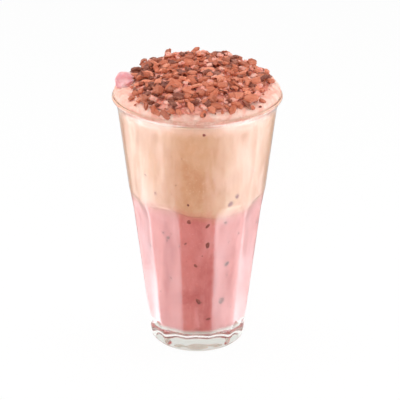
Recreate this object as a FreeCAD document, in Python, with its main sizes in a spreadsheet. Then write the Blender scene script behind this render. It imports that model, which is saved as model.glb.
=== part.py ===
import FreeCAD, Part
import math
import os

import Sketcher

# A strawberry milkshake in its own fluted tumbler.  Millimetres, +Z up, the foot of the glass on z = 0 and
# its centre line on the Z axis.  The clear tumbler holds a pink strawberry shake, a tan cream shake above it
# and a pillow of pale cream, which carries a heap of chipped chocolate and one dab of rose cream.

SIZES = [
    # alias, value, what it is
    ("glass_height", 137.0, "foot to lip"),
    ("rim_radius", 43.8, "outside of the lip"),
    ("rim_wall", 2.3, "glass thickness at the lip"),
    ("flare_height", 8.0, "height of the flared band below the lip"),
    ("flare_reach", 3.0, "how far the lip stands out from the wall where the flare begins"),
    ("neck_wall", 2.6, "glass thickness where the flare begins"),
    ("base_radius", 24.8, "outside of the cone at the foot, before the heel is rounded"),
    ("heel_round", 6.4, "rounding from the foot up to the wall"),
    ("base_thickness", 10.0, "solid glass under the drink"),
    ("floor_wall", 4.5, "glass thickness at the level of the inside floor"),
    ("floor_round", 7.0, "rounding of the inside floor into the wall"),
    ("recess_radius", 15.0, "hollow under the foot"),
    ("recess_depth", 1.2, "hollow under the foot, at its middle"),
    ("flute_count", 12, "flutes round the lower glass"),
    ("flute_foot_depth", 1.3, "middle of a flute, inside the wall's line at the foot"),
    ("flute_head_depth", 1.9, "middle of a flute, inside the wall's line below its arch"),
    ("flute_top", 86.0, "height at which a flute's arch leaves the wall"),
    ("flute_arch", 11.0, "height of the arch"),
    ("flute_round", 34.0, "radius of the round of a flute"),
    ("shake_level", 83.0, "top of the strawberry shake"),
    ("cream_level", 134.0, "top of the cream shake"),
    ("fit_clearance", 0.1, "between the glass and what fills it"),
    ("pillow_rise", 8.7, "middle of the cream pillow, above the lip"),
    ("pillow_fall", 1.5, "crown of the pillow, middle to side"),
    ("pillow_overhang", 1.1, "how far the pillow swells out over the lip, from the lip's inside"),
    ("pillow_round", 5.5, "shoulder of the pillow"),
    ("seat_clearance", 0.52, "between the pillow and the heap on it"),
    ("heap_margin", 2.9, "from the side of the pillow in to the edge of the chocolate heap"),
    ("heap_stretch", 1.8, "how much further the heap reaches to the front and back than to the sides"),
    ("heap_waver", 0.6, "how far the heap's edge wanders in and out"),
    ("heap_thickness", 3.4, "heap over the middle of the pillow"),
    ("heap_edge", 1.5, "heap at its edge"),
    ("chip_size", 3.0, "spacing of the corners of the chips"),
    ("chip_height", 1.8, "how much higher some corners stand than others"),
    ("dab_radius", 4.8, "rose dab, at its widest"),
    ("dab_height", 5.2, "rose dab, widest level to peak"),
    ("dab_sink", 3.0, "rose dab, below its widest level"),
    ("dab_inset", 4.4, "from the side of the pillow in to the middle of the dab"),
    ("dab_angle", 182.0, "degrees round from +X to the dab"),
    ("dab_drop", 1.9, "from the middle of the pillow down to the widest level of the dab"),
    ("dab_lean", 30.0, "degrees that the dab leans outwards"),
    ("dab_clearance", 0.5, "between the dab and the heap, which gives way to it"),
]

# Expressions that more than one piece uses.
NECK_HEIGHT = "(Sizes.glass_height - Sizes.flare_height)"
NECK_RADIUS = "(Sizes.rim_radius - Sizes.flare_reach)"
WALL_SLOPE = "((%s - Sizes.base_radius) / %s)" % (NECK_RADIUS, NECK_HEIGHT)
FLOOR_RADIUS = "(Sizes.base_radius + %s * Sizes.base_thickness - Sizes.floor_wall)" % WALL_SLOPE
NECK_INSIDE = "(%s - Sizes.neck_wall)" % NECK_RADIUS
LIP_INSIDE = "(Sizes.rim_radius - Sizes.rim_wall)"
LIP_HEIGHT = "(Sizes.glass_height - Sizes.rim_wall * 0.5)"
OVER_LIP = "(Sizes.glass_height + Sizes.fit_clearance)"
PILLOW_SIDE = "(%s + Sizes.pillow_overhang)" % LIP_INSIDE
FLUTE_SHOULDER = "(Sizes.flute_top - Sizes.flute_arch)"
FLUTE_LEAN = "(%s - (Sizes.flute_head_depth - Sizes.flute_foot_depth) / %s)" % (WALL_SLOPE, FLUTE_SHOULDER)

# How two corners of a profile are joined.
LINE = "line"
ARC_AFTER = "arc, tangent to the segment before it"
ARC_BEFORE = "arc, tangent to the segment after it"
ARC_CROWN = "arc, centred on the axis"
ARC_HALF = "half round, over the top"

BELOW_FOOT = 4.0  # what cuts the foot starts this far under it
COLUMN_HEIGHT = 30.0  # the space over the lip in which the toppings are cut out

EDGE_WAVES = ((0.6, 3.0, 0.7), (0.4, 7.0, 2.1))  # wander of the heap's edge: share, waves round, start
NOTCH_SPREAD = 1.5  # the heap draws back for the dab, over this many times the angle the dab takes up
CRUST_POWER = 4  # how late the heap thins out on the way to its edge
DAB_WAIST = ("0.60", "0.56")  # shares of the dab's radius and height where its side turns up to the peak
DAB_TIP = ("0.12", "0.94")  # and where the peak is rounded off

doc = FreeCAD.newDocument("Milkshake")


def make_sheet():
    """Write the driving sizes into the document's spreadsheet."""
    page = doc.addObject("Spreadsheet::Sheet", "Sizes")
    for row, (alias, value, meaning) in enumerate(SIZES, start=1):
        page.set("A%d" % row, str(value))
        page.setAlias("A%d" % row, alias)
        page.set("B%d" % row, meaning)
    doc.recompute()
    return page


sheet = make_sheet()


def size(alias):
    """A size read back from the sheet, as a plain number."""
    return float(sheet.get(alias))


def origin_item(body, role):
    """The plane or axis of that role in the body's own origin."""
    return [item for item in body.Origin.OriginFeatures if item.Role == role][0]


def mirrored(heading, chord):
    """The heading at the end of an arc that starts along heading and spans chord."""
    along = chord * (heading.dot(chord) * 2.0 / chord.dot(chord))
    return along - heading


def arc_from(start, end, heading):
    """The arc that leaves start along heading and ends at end."""
    chord = end - start
    turn = chord.getAngle(heading)
    side = 1.0 if heading.cross(chord).z > 0 else -1.0
    across = FreeCAD.Vector(chord.y, -chord.x, 0).normalize() * side
    return Part.Arc(start, (start + end) * 0.5 + across * (chord.Length * 0.5 * math.tan(turn * 0.5)), end)


def arc_about_axis(start, end):
    """The arc from start to end whose centre lies on the axis, and its heading at the end."""
    centre_height = (end.Length ** 2 - start.Length ** 2) / (2.0 * (end.y - start.y))
    centre = FreeCAD.Vector(0, centre_height, 0)
    outward = ((start + end) * 0.5 - centre).normalize()
    spoke = end - centre
    heading = FreeCAD.Vector(-spoke.y, spoke.x, 0)
    if heading.dot(end - start) < 0:
        heading = heading * -1.0
    return Part.Arc(start, centre + outward * spoke.Length, end), heading


def profile_segment(places, index, kind, heading):
    """One segment of a profile, close to where the constraints will hold it, and its heading at the end."""
    count = len(places)
    start = places[index]
    end = places[(index + 1) % count]
    chord = end - start
    if kind == ARC_AFTER:
        return arc_from(start, end, heading), mirrored(heading, chord)
    if kind == ARC_BEFORE:
        after = places[(index + 2) % count] - end
        return arc_from(start, end, mirrored(after, chord)), after
    if kind == ARC_CROWN:
        return arc_about_axis(start, end)
    if kind == ARC_HALF:
        top = (start + end) * 0.5 + FreeCAD.Vector(0, chord.Length * 0.5, 0)
        return Part.Arc(start, top, end), FreeCAD.Vector(0, -1, 0)
    return Part.LineSegment(start, end), chord


def first_end(sketch, index, start):
    """The point number, 1 or 2, at which a segment of the profile begins: an arc may be held backwards."""
    return 1 if (sketch.getPoint(index, 1) - start).Length < 1e-6 else 2


def place_corner(sketch, name, index, point, corner):
    """Tie one corner of a profile to its radius and height; "0" lies on the axis or on the foot's plane."""
    for kind, axis, expression in (("DistanceX", -2, corner[0]), ("DistanceY", -1, corner[1])):
        if expression == "0":
            sketch.addConstraint(Sketcher.Constraint("PointOnObject", index, point, axis))
            continue
        value = float(sketch.evalExpression(expression))
        number = sketch.addConstraint(Sketcher.Constraint(kind, -1, 1, index, point, value))
        label = "%s_%d_%s" % (name, index, kind)
        sketch.renameConstraint(number, label)
        sketch.setExpression("Constraints." + label, expression)


def profile_sketch(body, name, corners, kinds):
    """A closed profile on the body's XZ plane.

    corners holds a radius and a height for each corner, as expressions, and kinds says how each corner is
    joined to the next.
    """
    sketch = body.newObject("Sketcher::SketchObject", name)
    sketch.AttachmentSupport = (origin_item(body, "XZ_Plane"), "")
    sketch.MapMode = "FlatFace"
    places = []
    for radius, height in corners:
        across = float(sketch.evalExpression(radius))
        up = float(sketch.evalExpression(height))
        places.append(FreeCAD.Vector(across, up, 0))
    count = len(corners)
    heading = FreeCAD.Vector(0, 1, 0)
    for index, kind in enumerate(kinds):
        segment, heading = profile_segment(places, index, kind, heading)
        sketch.addGeometry(segment, False)
    firsts = [first_end(sketch, index, places[index]) for index in range(count)]
    for index, kind in enumerate(kinds):
        following = (index + 1) % count
        smooth = kind == ARC_BEFORE or kinds[following] == ARC_AFTER
        meeting = "Tangent" if smooth else "Coincident"
        last = 3 - firsts[index]
        sketch.addConstraint(Sketcher.Constraint(meeting, index, last, following, firsts[following]))
        place_corner(sketch, name, index, firsts[index], corners[index])
        if kind == ARC_CROWN:
            sketch.addConstraint(Sketcher.Constraint("PointOnObject", index, 3, -2))
        elif kind == ARC_HALF:
            sketch.addConstraint(Sketcher.Constraint("Symmetric", index, 1, index, 2, index, 3))
    doc.recompute()
    return sketch


def revolve(body, name, sketch):
    """Turn a profile once round the body's upright axis."""
    turned = body.newObject("PartDesign::Revolution", name)
    turned.Profile = sketch
    turned.ReferenceAxis = (sketch, ["V_Axis"])
    turned.Angle = 360.0
    doc.recompute()
    return turned


def round_edge(body, name, base, radius, height, expression):
    """Round the full circle that lies at a radius and a height."""
    names = []
    for number, edge in enumerate(base.Shape.Edges, start=1):
        if edge.Degenerated or not isinstance(edge.Curve, Part.Circle):
            continue
        off = abs(edge.Curve.Radius - radius) + abs(edge.Curve.Center.z - height)
        if off < 0.01:
            names.append("Edge%d" % number)
    fillet = body.newObject("PartDesign::Fillet", name)
    fillet.Base = (base, names)
    fillet.setExpression("Radius", expression)
    doc.recompute()
    return fillet


def make_tumbler():
    """The glass: a turned cone with a flared, rolled lip and a thick, hollowed base, cut with flutes."""
    body = doc.addObject("PartDesign::Body", "tumbler")
    corners = [
        ("0", "Sizes.recess_depth"),
        ("Sizes.recess_radius", "0"),
        ("Sizes.base_radius", "0"),
        (NECK_RADIUS, NECK_HEIGHT),
        ("Sizes.rim_radius", LIP_HEIGHT),
        (LIP_INSIDE, LIP_HEIGHT),
        (NECK_INSIDE, NECK_HEIGHT),
        (FLOOR_RADIUS, "Sizes.base_thickness"),
        ("0", "Sizes.base_thickness"),
    ]
    kinds = [ARC_CROWN, LINE, LINE, ARC_AFTER, ARC_HALF, ARC_BEFORE, LINE, LINE, LINE]
    sketch = profile_sketch(body, "wall_profile", corners, kinds)
    wall = revolve(body, "wall", sketch)
    heel = round_edge(body, "heel", wall, size("base_radius"), 0.0, "Sizes.heel_round")
    floor_radius = float(sketch.evalExpression(FLOOR_RADIUS))
    round_edge(body, "floor", heel, floor_radius, size("base_thickness"), "Sizes.floor_round")
    cut_flutes(body)
    body.Placement = FreeCAD.Placement(FreeCAD.Vector(), FreeCAD.Rotation(FreeCAD.Vector(0, 0, 1), -90))
    return body


def cut_flutes(body):
    """Twelve shallow troughs.

    One trough is the space of a long round bar that leans against the wall.  Its line runs a little inside
    the wall from below the foot up to the shoulder, then bends outwards and leaves the wall as an arch.
    """
    low_height = "-%g" % BELOW_FOOT
    foot = "(Sizes.base_radius - Sizes.flute_foot_depth)"
    low = "(%s - %s * %g)" % (foot, FLUTE_LEAN, BELOW_FOOT)
    shoulder = "(%s + %s * %s)" % (foot, FLUTE_LEAN, FLUTE_SHOULDER)
    head = "(Sizes.base_radius + %s * Sizes.flute_top)" % WALL_SLOPE
    axis = "(Sizes.flute_round * sqrt(1 + %s ^ 2))" % FLUTE_LEAN
    high = "(%s + %s * Sizes.flute_top + %s)" % (foot, FLUTE_LEAN, axis)
    corners = [
        (low, low_height),
        (shoulder, FLUTE_SHOULDER),
        (head, "Sizes.flute_top"),
        (high, "Sizes.flute_top"),
        ("(%s + %s)" % (low, axis), low_height),
    ]
    sketch = profile_sketch(body, "flute_profile", corners, [LINE, ARC_AFTER, LINE, LINE, LINE])
    before = body.Tip.Shape.Volume
    groove = body.newObject("PartDesign::Groove", "flute")
    groove.Profile = sketch
    groove.ReferenceAxis = (sketch, ["Edge4"])
    groove.Angle = 360.0
    doc.recompute()
    if groove.Shape.Volume >= before:
        raise RuntimeError("the flute cuts nothing")
    ring = body.newObject("PartDesign::PolarPattern", "flutes")
    ring.Originals = [groove]
    ring.Axis = (origin_item(body, "Z_Axis"), [""])
    ring.Angle = 360.0
    ring.setExpression("Occurrences", "Sizes.flute_count")
    body.Tip = ring
    doc.recompute()


def make_filling():
    """All the space in the glass, less the clearance, and over the lip a column a little wider than it."""
    body = doc.addObject("PartDesign::Body", "filling")
    side = "%s - Sizes.fit_clearance"
    top = "(Sizes.glass_height + %g)" % COLUMN_HEIGHT
    corners = [
        ("0", "(Sizes.base_thickness + Sizes.fit_clearance)"),
        (side % FLOOR_RADIUS, "(Sizes.base_thickness + Sizes.fit_clearance)"),
        (side % NECK_INSIDE, NECK_HEIGHT),
        (side % LIP_INSIDE, LIP_HEIGHT),
        (side % LIP_INSIDE, OVER_LIP),
        (PILLOW_SIDE, OVER_LIP),
        (PILLOW_SIDE, top),
        ("0", top),
    ]
    kinds = [LINE, LINE, ARC_AFTER, LINE, LINE, LINE, LINE, LINE]
    sketch = profile_sketch(body, "filling_profile", corners, kinds)
    turned = revolve(body, "filling_turned", sketch)
    floor_radius = float(sketch.evalExpression(corners[1][0]))
    floor_height = float(sketch.evalExpression(corners[1][1]))
    round_edge(body, "filling_floor", turned, floor_radius, floor_height, "Sizes.floor_round")
    return body


def make_layer(name, filling, bottom, top):
    """The part of the filling between two levels."""
    slab = doc.addObject("Part::Cylinder", name + "_slab")
    slab.setExpression("Radius", "Sizes.rim_radius * 1.5")
    slab.setExpression("Placement.Base.z", bottom)
    slab.setExpression("Height", "%s - %s" % (top, bottom))
    return combine("Part::Common", name, filling, slab)


def make_pillow_block():
    """The pillow before the glass trims it: a low crowned drum with a wide round shoulder."""
    body = doc.addObject("PartDesign::Body", "pillow_block")
    shoulder = "(Sizes.glass_height + Sizes.pillow_rise - Sizes.pillow_fall)"
    corners = [
        ("0", "Sizes.cream_level"),
        (PILLOW_SIDE, "Sizes.cream_level"),
        (PILLOW_SIDE, shoulder),
        ("0", "(Sizes.glass_height + Sizes.pillow_rise)"),
    ]
    sketch = profile_sketch(body, "pillow_profile", corners, [LINE, LINE, ARC_CROWN, LINE])
    turned = revolve(body, "pillow_turned", sketch)
    radius = float(sketch.evalExpression(PILLOW_SIDE))
    height = float(sketch.evalExpression(shoulder))
    round_edge(body, "pillow_shoulder", turned, radius, height, "Sizes.pillow_round")
    return body


def pillow_side():
    """Distance from the centre line to the side of the pillow."""
    return size("rim_radius") - size("rim_wall") + size("pillow_overhang")


def pillow_height(reach, lift):
    """Height above the lip of a skin a lift off the pillow, at a distance from the centre line."""
    side = pillow_side()
    crown = (side ** 2 + size("pillow_fall") ** 2) / (2.0 * size("pillow_fall")) + lift
    height = size("pillow_rise") + lift - crown + math.sqrt(crown ** 2 - reach ** 2)
    bend = size("pillow_round") + lift
    over = reach - (side - size("pillow_round"))
    if over > 0:
        height -= bend - math.sqrt(bend ** 2 - over ** 2)
    return height


def scatter(number):
    """A repeatable uneven number between 0 and 1."""
    return (math.sin(number * 12.9898) * 43758.5453) % 1.0


def heap_edge(angle):
    """How far the heap reaches at an angle: a wandering edge, which draws back where the dab sits."""
    waver = sum(share * math.sin(waves * angle + start) for share, waves, start in EDGE_WAVES)
    reach = pillow_side() - size("heap_margin") - size("heap_stretch") * math.cos(2.0 * angle)
    reach += size("heap_waver") * waver
    to_dab = abs(math.remainder(angle - math.radians(size("dab_angle")), math.tau))
    room = size("dab_radius") + size("dab_clearance")
    dab_reach = pillow_side() - size("dab_inset")
    covered = NOTCH_SPREAD * math.asin(room / dab_reach)
    notch = min(max((2.0 * covered - to_dab) / covered, 0.0), 1.0)
    return reach - notch * max(reach - (dab_reach - room), 0.0)


def heap_side(rings, upper):
    """Corners of the heap's upper or under side: one in the middle, then six more in each further ring."""
    points = []
    number = 0
    for ring in range(rings + 1):
        share = ring / rings
        spokes = max(6 * ring, 1)
        for spoke in range(spokes):
            angle = math.tau * spoke / spokes
            reach = share * heap_edge(angle)
            up = size("glass_height") + pillow_height(reach, size("seat_clearance"))
            if upper:
                swell = size("heap_thickness") - size("heap_edge")
                up += size("heap_edge") + swell * (1.0 - share ** CRUST_POWER)
                up += size("chip_height") * (scatter(number) - 0.5)
            points.append(FreeCAD.Vector(reach * math.cos(angle), reach * math.sin(angle), up))
            number += 1
    return points


def corner_number(ring, spoke):
    """Place of a corner in the list that heap_side gives; a ring's spokes are counted round and round."""
    return 0 if ring == 0 else 1 + 3 * ring * (ring - 1) + spoke % (6 * ring)


def heap_facets(rings):
    """Triangles between the corners of neighbouring rings, a sixth of the disc at a time."""
    facets = []
    for ring in range(1, rings + 1):
        for sixth in range(6):
            outer = sixth * ring
            inner = sixth * (ring - 1)
            for step in range(ring):
                a = corner_number(ring, outer + step)
                b = corner_number(ring, outer + step + 1)
                c = corner_number(ring - 1, inner + step)
                facets.append((a, b, c))
                if step + 1 < ring:
                    facets.append((b, corner_number(ring - 1, inner + step + 1), c))
    return facets


def make_heap():
    """The chocolate heap: one chipped crust over the pillow, closed by facets above, below and round."""
    rings = round((pillow_side() - size("heap_margin")) / size("chip_size"))
    points = heap_side(rings, True) + heap_side(rings, False)
    below = len(points) // 2
    facets = heap_facets(rings)
    facets += [(a + below, c + below, b + below) for a, b, c in facets]
    for spoke in range(6 * rings):
        here = corner_number(rings, spoke)
        after = corner_number(rings, spoke + 1)
        facets.append((here, here + below, after + below))
        facets.append((here, after + below, after))
    skin = Part.Shape()
    skin.makeShapeFromMesh((points, facets), 0.001)
    heap = doc.addObject("Part::Feature", "heap")
    heap.Shape = Part.makeSolid(skin)
    if heap.Shape.Volume < 0:
        raise RuntimeError("the heap is inside out")
    return heap


def make_dab():
    """One soft dab of rose cream, with a small peak, leaning out at the left of the heap."""
    body = doc.addObject("PartDesign::Body", "dab_turned")
    corners = [
        ("0", "(Sizes.dab_sink * -1)"),
        ("Sizes.dab_radius", "0"),
        ("(Sizes.dab_radius * %s)" % DAB_WAIST[0], "(Sizes.dab_height * %s)" % DAB_WAIST[1]),
        ("(Sizes.dab_radius * %s)" % DAB_TIP[0], "(Sizes.dab_height * %s)" % DAB_TIP[1]),
        ("0", "Sizes.dab_height"),
    ]
    kinds = [ARC_CROWN, ARC_AFTER, ARC_AFTER, ARC_CROWN, LINE]
    sketch = profile_sketch(body, "dab_profile", corners, kinds)
    revolve(body, "dab_turned_once", sketch)
    angle = math.radians(size("dab_angle"))
    reach = pillow_side() - size("dab_inset")
    level = size("glass_height") + size("pillow_rise") - size("dab_drop")
    place = FreeCAD.Vector(reach * math.cos(angle), reach * math.sin(angle), level)
    sideways = FreeCAD.Vector(-math.sin(angle), math.cos(angle), 0)
    body.Placement = FreeCAD.Placement(place, FreeCAD.Rotation(sideways, size("dab_lean")))
    return body


def combine(kind, name, base, tool):
    """A boolean of two pieces of the document: Part::Cut or Part::Common."""
    result = doc.addObject(kind, name)
    result.Base = base
    result.Tool = tool
    doc.recompute()
    return result


def check_document():
    """Stop on any object that the last recompute left failed."""
    doc.recompute()
    for item in doc.Objects:
        if "Invalid" in item.State or "Error" in item.State:
            raise RuntimeError("%s failed: %s" % (item.Name, item.getStatusString()))


def write_piece(piece, name):
    """Check one piece and write it to its own file."""
    shape = piece.Shape
    if shape.isNull() or not shape.isValid() or len(shape.Solids) != 1:
        raise RuntimeError("%s is not one sound solid" % name)
    piece.Label = name
    shape.exportStep("parts/%s.step" % name)
    print("%-18s %9.1f mm3 %4d faces" % (name, shape.Volume, len(shape.Faces)))


def main():
    """Build the glass, then what fills it from the floor up, then what stands above its lip."""
    tumbler = make_tumbler()
    filling = make_filling()
    strawberry = make_layer("strawberry_layer", filling, "Sizes.base_thickness", "Sizes.shake_level")
    cream = make_layer("cream_layer", filling, "Sizes.shake_level", "Sizes.cream_level")
    pillow_block = make_pillow_block()
    pillow = combine("Part::Common", "pillow_trimmed", filling, pillow_block)
    dab = combine("Part::Cut", "dab_seated", make_dab(), pillow_block)
    heap = make_heap()
    check_document()
    os.makedirs("parts", exist_ok=True)
    write_piece(tumbler, "tumbler")
    write_piece(strawberry, "strawberry_shake")
    write_piece(cream, "cream_shake")
    write_piece(pillow, "cream_pillow")
    write_piece(heap, "chocolate_heap")
    write_piece(dab, "rose_dab")


main()
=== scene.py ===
"""A strawberry milkshake in a fluted tumbler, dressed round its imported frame.

The frame gives the glass and what fills it at true size.  Each piece here is a closed skin worked out with
numpy in millimetres, and either stands for one node of the frame or is one kind of topping that lies on it.
"""
import logging
import math
from dataclasses import dataclass
from enum import Enum

import bpy
import numpy as np
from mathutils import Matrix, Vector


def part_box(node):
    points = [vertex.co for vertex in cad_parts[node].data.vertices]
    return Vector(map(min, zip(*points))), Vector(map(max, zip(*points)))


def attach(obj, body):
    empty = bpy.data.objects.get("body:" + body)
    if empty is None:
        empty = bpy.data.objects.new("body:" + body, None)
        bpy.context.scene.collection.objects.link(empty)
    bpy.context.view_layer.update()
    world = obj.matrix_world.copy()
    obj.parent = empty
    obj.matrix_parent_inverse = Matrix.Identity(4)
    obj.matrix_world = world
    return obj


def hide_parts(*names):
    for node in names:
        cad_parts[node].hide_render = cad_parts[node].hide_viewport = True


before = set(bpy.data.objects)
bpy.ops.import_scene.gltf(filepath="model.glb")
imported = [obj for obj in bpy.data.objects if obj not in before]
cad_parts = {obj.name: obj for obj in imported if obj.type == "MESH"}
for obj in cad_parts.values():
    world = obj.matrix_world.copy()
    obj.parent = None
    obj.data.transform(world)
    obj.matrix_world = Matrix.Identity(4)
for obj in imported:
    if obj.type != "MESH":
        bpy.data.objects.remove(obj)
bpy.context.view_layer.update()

MM = 0.001
ROOT = "root"
TURN = 2.0 * math.pi
UP = np.array([0.0, 0.0, 1.0])
log = logging.getLogger("milkshake")

Colour = tuple[float, float, float]
Point = tuple[float, float, float]
Skin = tuple[np.ndarray, list[np.ndarray]]


# ---------------------------------------------------------------- outlines and skins


def straight(start: tuple[float, float], end: tuple[float, float], count: int) -> np.ndarray:
    """Points of a straight stretch of outline, each a distance from the axis and a height."""
    return np.linspace(start, end, count)


def round_arc(centre: tuple[float, float], radius: float, first: float, last: float,
              count: int) -> np.ndarray:
    """Points of an arc: centre + radius (cos a, sin a), with a from first to last in degrees."""
    a = np.radians(np.linspace(first, last, count))
    return np.stack([centre[0] + radius * np.cos(a), centre[1] + radius * np.sin(a)], -1)


def tangent_arc(start: tuple[float, float], heading: tuple[float, float], end: tuple[float, float],
                count: int) -> np.ndarray:
    """Points of the arc that leaves start along heading and ends at end.

    With w the angle from the heading to the chord, a share t of the way round lies in the direction of the
    heading turned by w t, at the distance chord sin(w t) / sin(w).

    Args:
        start: First point, distance from the axis and height.
        heading: Direction in which the arc leaves it.
        end: Last point.
        count: How many points.

    Returns:
        The points, count x 2.
    """
    chord = np.subtract(end, start)
    w = math.atan2(chord[1], chord[0]) - math.atan2(heading[1], heading[0])
    t = np.linspace(0.0, 1.0, count)
    away = np.hypot(*chord) * np.sin(w * t) / math.sin(w)
    toward = math.atan2(heading[1], heading[0]) + w * t
    return np.stack([start[0] + away * np.cos(toward), start[1] + away * np.sin(toward)], -1)


def ripple(points: np.ndarray, length: float, seed: int, waves: int = 20) -> np.ndarray:
    """Smooth unevenness, mostly within -1..1.

    The sum of plane waves cos(2 pi (p . d) / length + phase) in random directions d, over the root of twice
    their number.

    Args:
        points: Places, with a last axis of 3.
        length: Mean length of a wave, in the places' own unit.
        seed: Seed of the directions and phases.
        waves: How many waves are added.

    Returns:
        One number for each place.
    """
    rng = np.random.default_rng(seed)
    heading = rng.normal(size=(waves, 3))
    heading /= np.linalg.norm(heading, axis=1, keepdims=True)
    heading *= rng.uniform(0.7, 1.45, (waves, 1)) * TURN / length
    return np.cos(points @ heading.T + rng.uniform(0, TURN, waves)).sum(-1) / math.sqrt(2 * waves)


def closed_skins(rings: np.ndarray) -> Skin:
    """Closed skins through rings of points, each skin's first and last ring shut on the ring's own middle.

    Args:
        rings: Points, skins x rings x points in a ring x 3; the rings run counter-clockwise seen from
            ahead, which turns every face outwards.

    Returns:
        All points, and the faces as one array of quads and one of triangles.
    """
    skins, rows, columns = rings.shape[:3]
    each = rows * columns + 2
    ends = np.stack([rings[:, 0].mean(1), rings[:, -1].mean(1)], 1)
    points = np.concatenate([rings.reshape(skins, -1, 3), ends], 1).reshape(-1, 3)
    here = np.arange(rows * columns).reshape(rows, columns)
    after = np.roll(here, -1, axis=1)
    quads = np.stack([here[:-1], after[:-1], after[1:], here[1:]], -1).reshape(-1, 4)
    foot = np.stack([np.full(columns, each - 2), after[0], here[0]], -1)
    head = np.stack([np.full(columns, each - 1), here[-1], after[-1]], -1)
    shift = (np.arange(skins) * each)[:, None, None]
    fans = np.concatenate([foot, head])
    return points, [(quads[None] + shift).reshape(-1, 4), (fans[None] + shift).reshape(-1, 3)]


def round_angles(count: int) -> np.ndarray:
    """Angles spread evenly over a whole turn."""
    return np.linspace(0.0, TURN, count, endpoint=False)


def turned(outline: np.ndarray, columns: int) -> tuple[np.ndarray, np.ndarray, np.ndarray]:
    """An outline carried round the axis.

    Args:
        outline: Its points, each a distance from the axis and a height.
        columns: How many places it is carried to.

    Returns:
        The angle, the distance from the axis and the height, each outline points x columns.
    """
    shape = (len(outline), columns)
    return (np.broadcast_to(round_angles(columns), shape), np.broadcast_to(outline[:, :1], shape),
            np.broadcast_to(outline[:, 1:], shape))


def upright(angle: np.ndarray, reach: np.ndarray, height: np.ndarray) -> np.ndarray:
    """Points (reach cos a, reach sin a, height)."""
    return np.stack([reach * np.cos(angle), reach * np.sin(angle), height], -1)


def disc(ring: np.ndarray, count: int) -> np.ndarray:
    """Rings that fill a ring in, from near its middle to just inside it.

    Each is the ring drawn in to a share of its size about the axis, at a height nearer to the ring's mean.

    Args:
        ring: The outer ring's points.
        count: Rings from the middle to the outer one, with that one.

    Returns:
        The rings without the outer one.
    """
    share = np.linspace(0.03, 1.0, count)[:-1, None, None]
    return UP * ring.mean(0) * (1 - share) + ring * share


def leaning_axes(normal: np.ndarray, spin: np.ndarray, lean: np.ndarray, toward: np.ndarray) -> np.ndarray:
    """Axes of loose pieces on a slope, pieces x 3 x 3, one axis in each column.

    The third axis is the slope's normal, leant over by the angle lean in the direction toward; the first two
    lie across it, turned by spin.

    Args:
        normal: The slope's normal under each piece.
        spin: Turn of each piece about its own normal.
        lean: Angle between the slope's normal and the piece's.
        toward: Direction of the lean, as an angle round the slope's normal.

    Returns:
        The axes.
    """
    east = np.cross(np.array([0.0, 1.0, 0.0]), normal)
    east /= np.linalg.norm(east, axis=1, keepdims=True)
    north = np.cross(normal, east)
    over = np.cos(toward)[:, None] * east + np.sin(toward)[:, None] * north
    up = np.cos(lean)[:, None] * normal + np.sin(lean)[:, None] * over
    first = np.cross(north, up)
    first /= np.linalg.norm(first, axis=1, keepdims=True)
    second = np.cross(up, first)
    along = np.cos(spin)[:, None] * first + np.sin(spin)[:, None] * second
    across = np.cross(up, along)
    return np.stack([along, across, up], -1)


def pebble_rings(rng: np.random.Generator, count: int, rows: int, columns: int, uneven: float) -> np.ndarray:
    """Rings of uneven pebbles about one unit in half-size, pebbles x rings x points x 3.

    A pebble is a ball whose distance in each direction is 1 - uneven x random.

    Args:
        rng: Source of the random numbers.
        count: How many pebbles.
        rows: Rings in each.
        columns: Points in each ring.
        uneven: Share by which a point may lie nearer to the middle.

    Returns:
        The points.
    """
    lift = np.linspace(-0.42, 0.42, rows)[:, None] * math.pi
    angle = round_angles(columns)
    ball = np.stack([np.cos(lift) * np.cos(angle), np.cos(lift) * np.sin(angle),
                     np.sin(lift) * np.ones(columns)], -1)
    return ball[None] * (1.0 - uneven * rng.random((count, rows, columns, 1)))


def put_in(name: str, data: bpy.types.ID) -> bpy.types.Object:
    """Put a mesh, a lamp or a camera into the scene as an object.

    Args:
        name: Name of the object.
        data: What it shows.

    Returns:
        The object.
    """
    thing = bpy.data.objects.new(name, data)
    bpy.context.scene.collection.objects.link(thing)
    return thing


def new_piece(name: str, skin: Skin, smooth: bool = True) -> bpy.types.Object:
    """Put a skin into the scene as a piece that rides on the body.

    Args:
        name: Name of the piece.
        skin: Points in millimetres and their faces.
        smooth: Whether the faces are shaded smooth.

    Returns:
        The piece.
    """
    points, faces = skin
    mesh = bpy.data.meshes.new(name)
    loops = np.concatenate([f.reshape(-1) for f in faces])
    sizes = np.concatenate([np.full(len(f), f.shape[1]) for f in faces])
    mesh.vertices.add(len(points))
    mesh.vertices.foreach_set("co", (points * MM).astype(np.float32).reshape(-1))
    mesh.loops.add(len(loops))
    mesh.loops.foreach_set("vertex_index", loops.astype(np.int32))
    mesh.polygons.add(len(sizes))
    mesh.polygons.foreach_set("loop_start", np.concatenate([[0], np.cumsum(sizes)[:-1]]).astype(np.int32))
    mesh.polygons.foreach_set("use_smooth", np.full(len(sizes), smooth))
    mesh.update(calc_edges=True)
    mesh.validate()
    piece = put_in(name, mesh)
    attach(piece, ROOT)
    log.info("%s: %d points, %d faces", name, len(points), len(sizes))
    return piece


def paint(piece: bpy.types.Object, name: str, values: np.ndarray) -> None:
    """Store one number for each point of the piece, for its material to read."""
    store = piece.data.attributes.new(name, "FLOAT", "POINT")
    store.data.foreach_set("value", np.ascontiguousarray(values, np.float32).reshape(-1))


# ---------------------------------------------------------------- finishes


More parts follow.
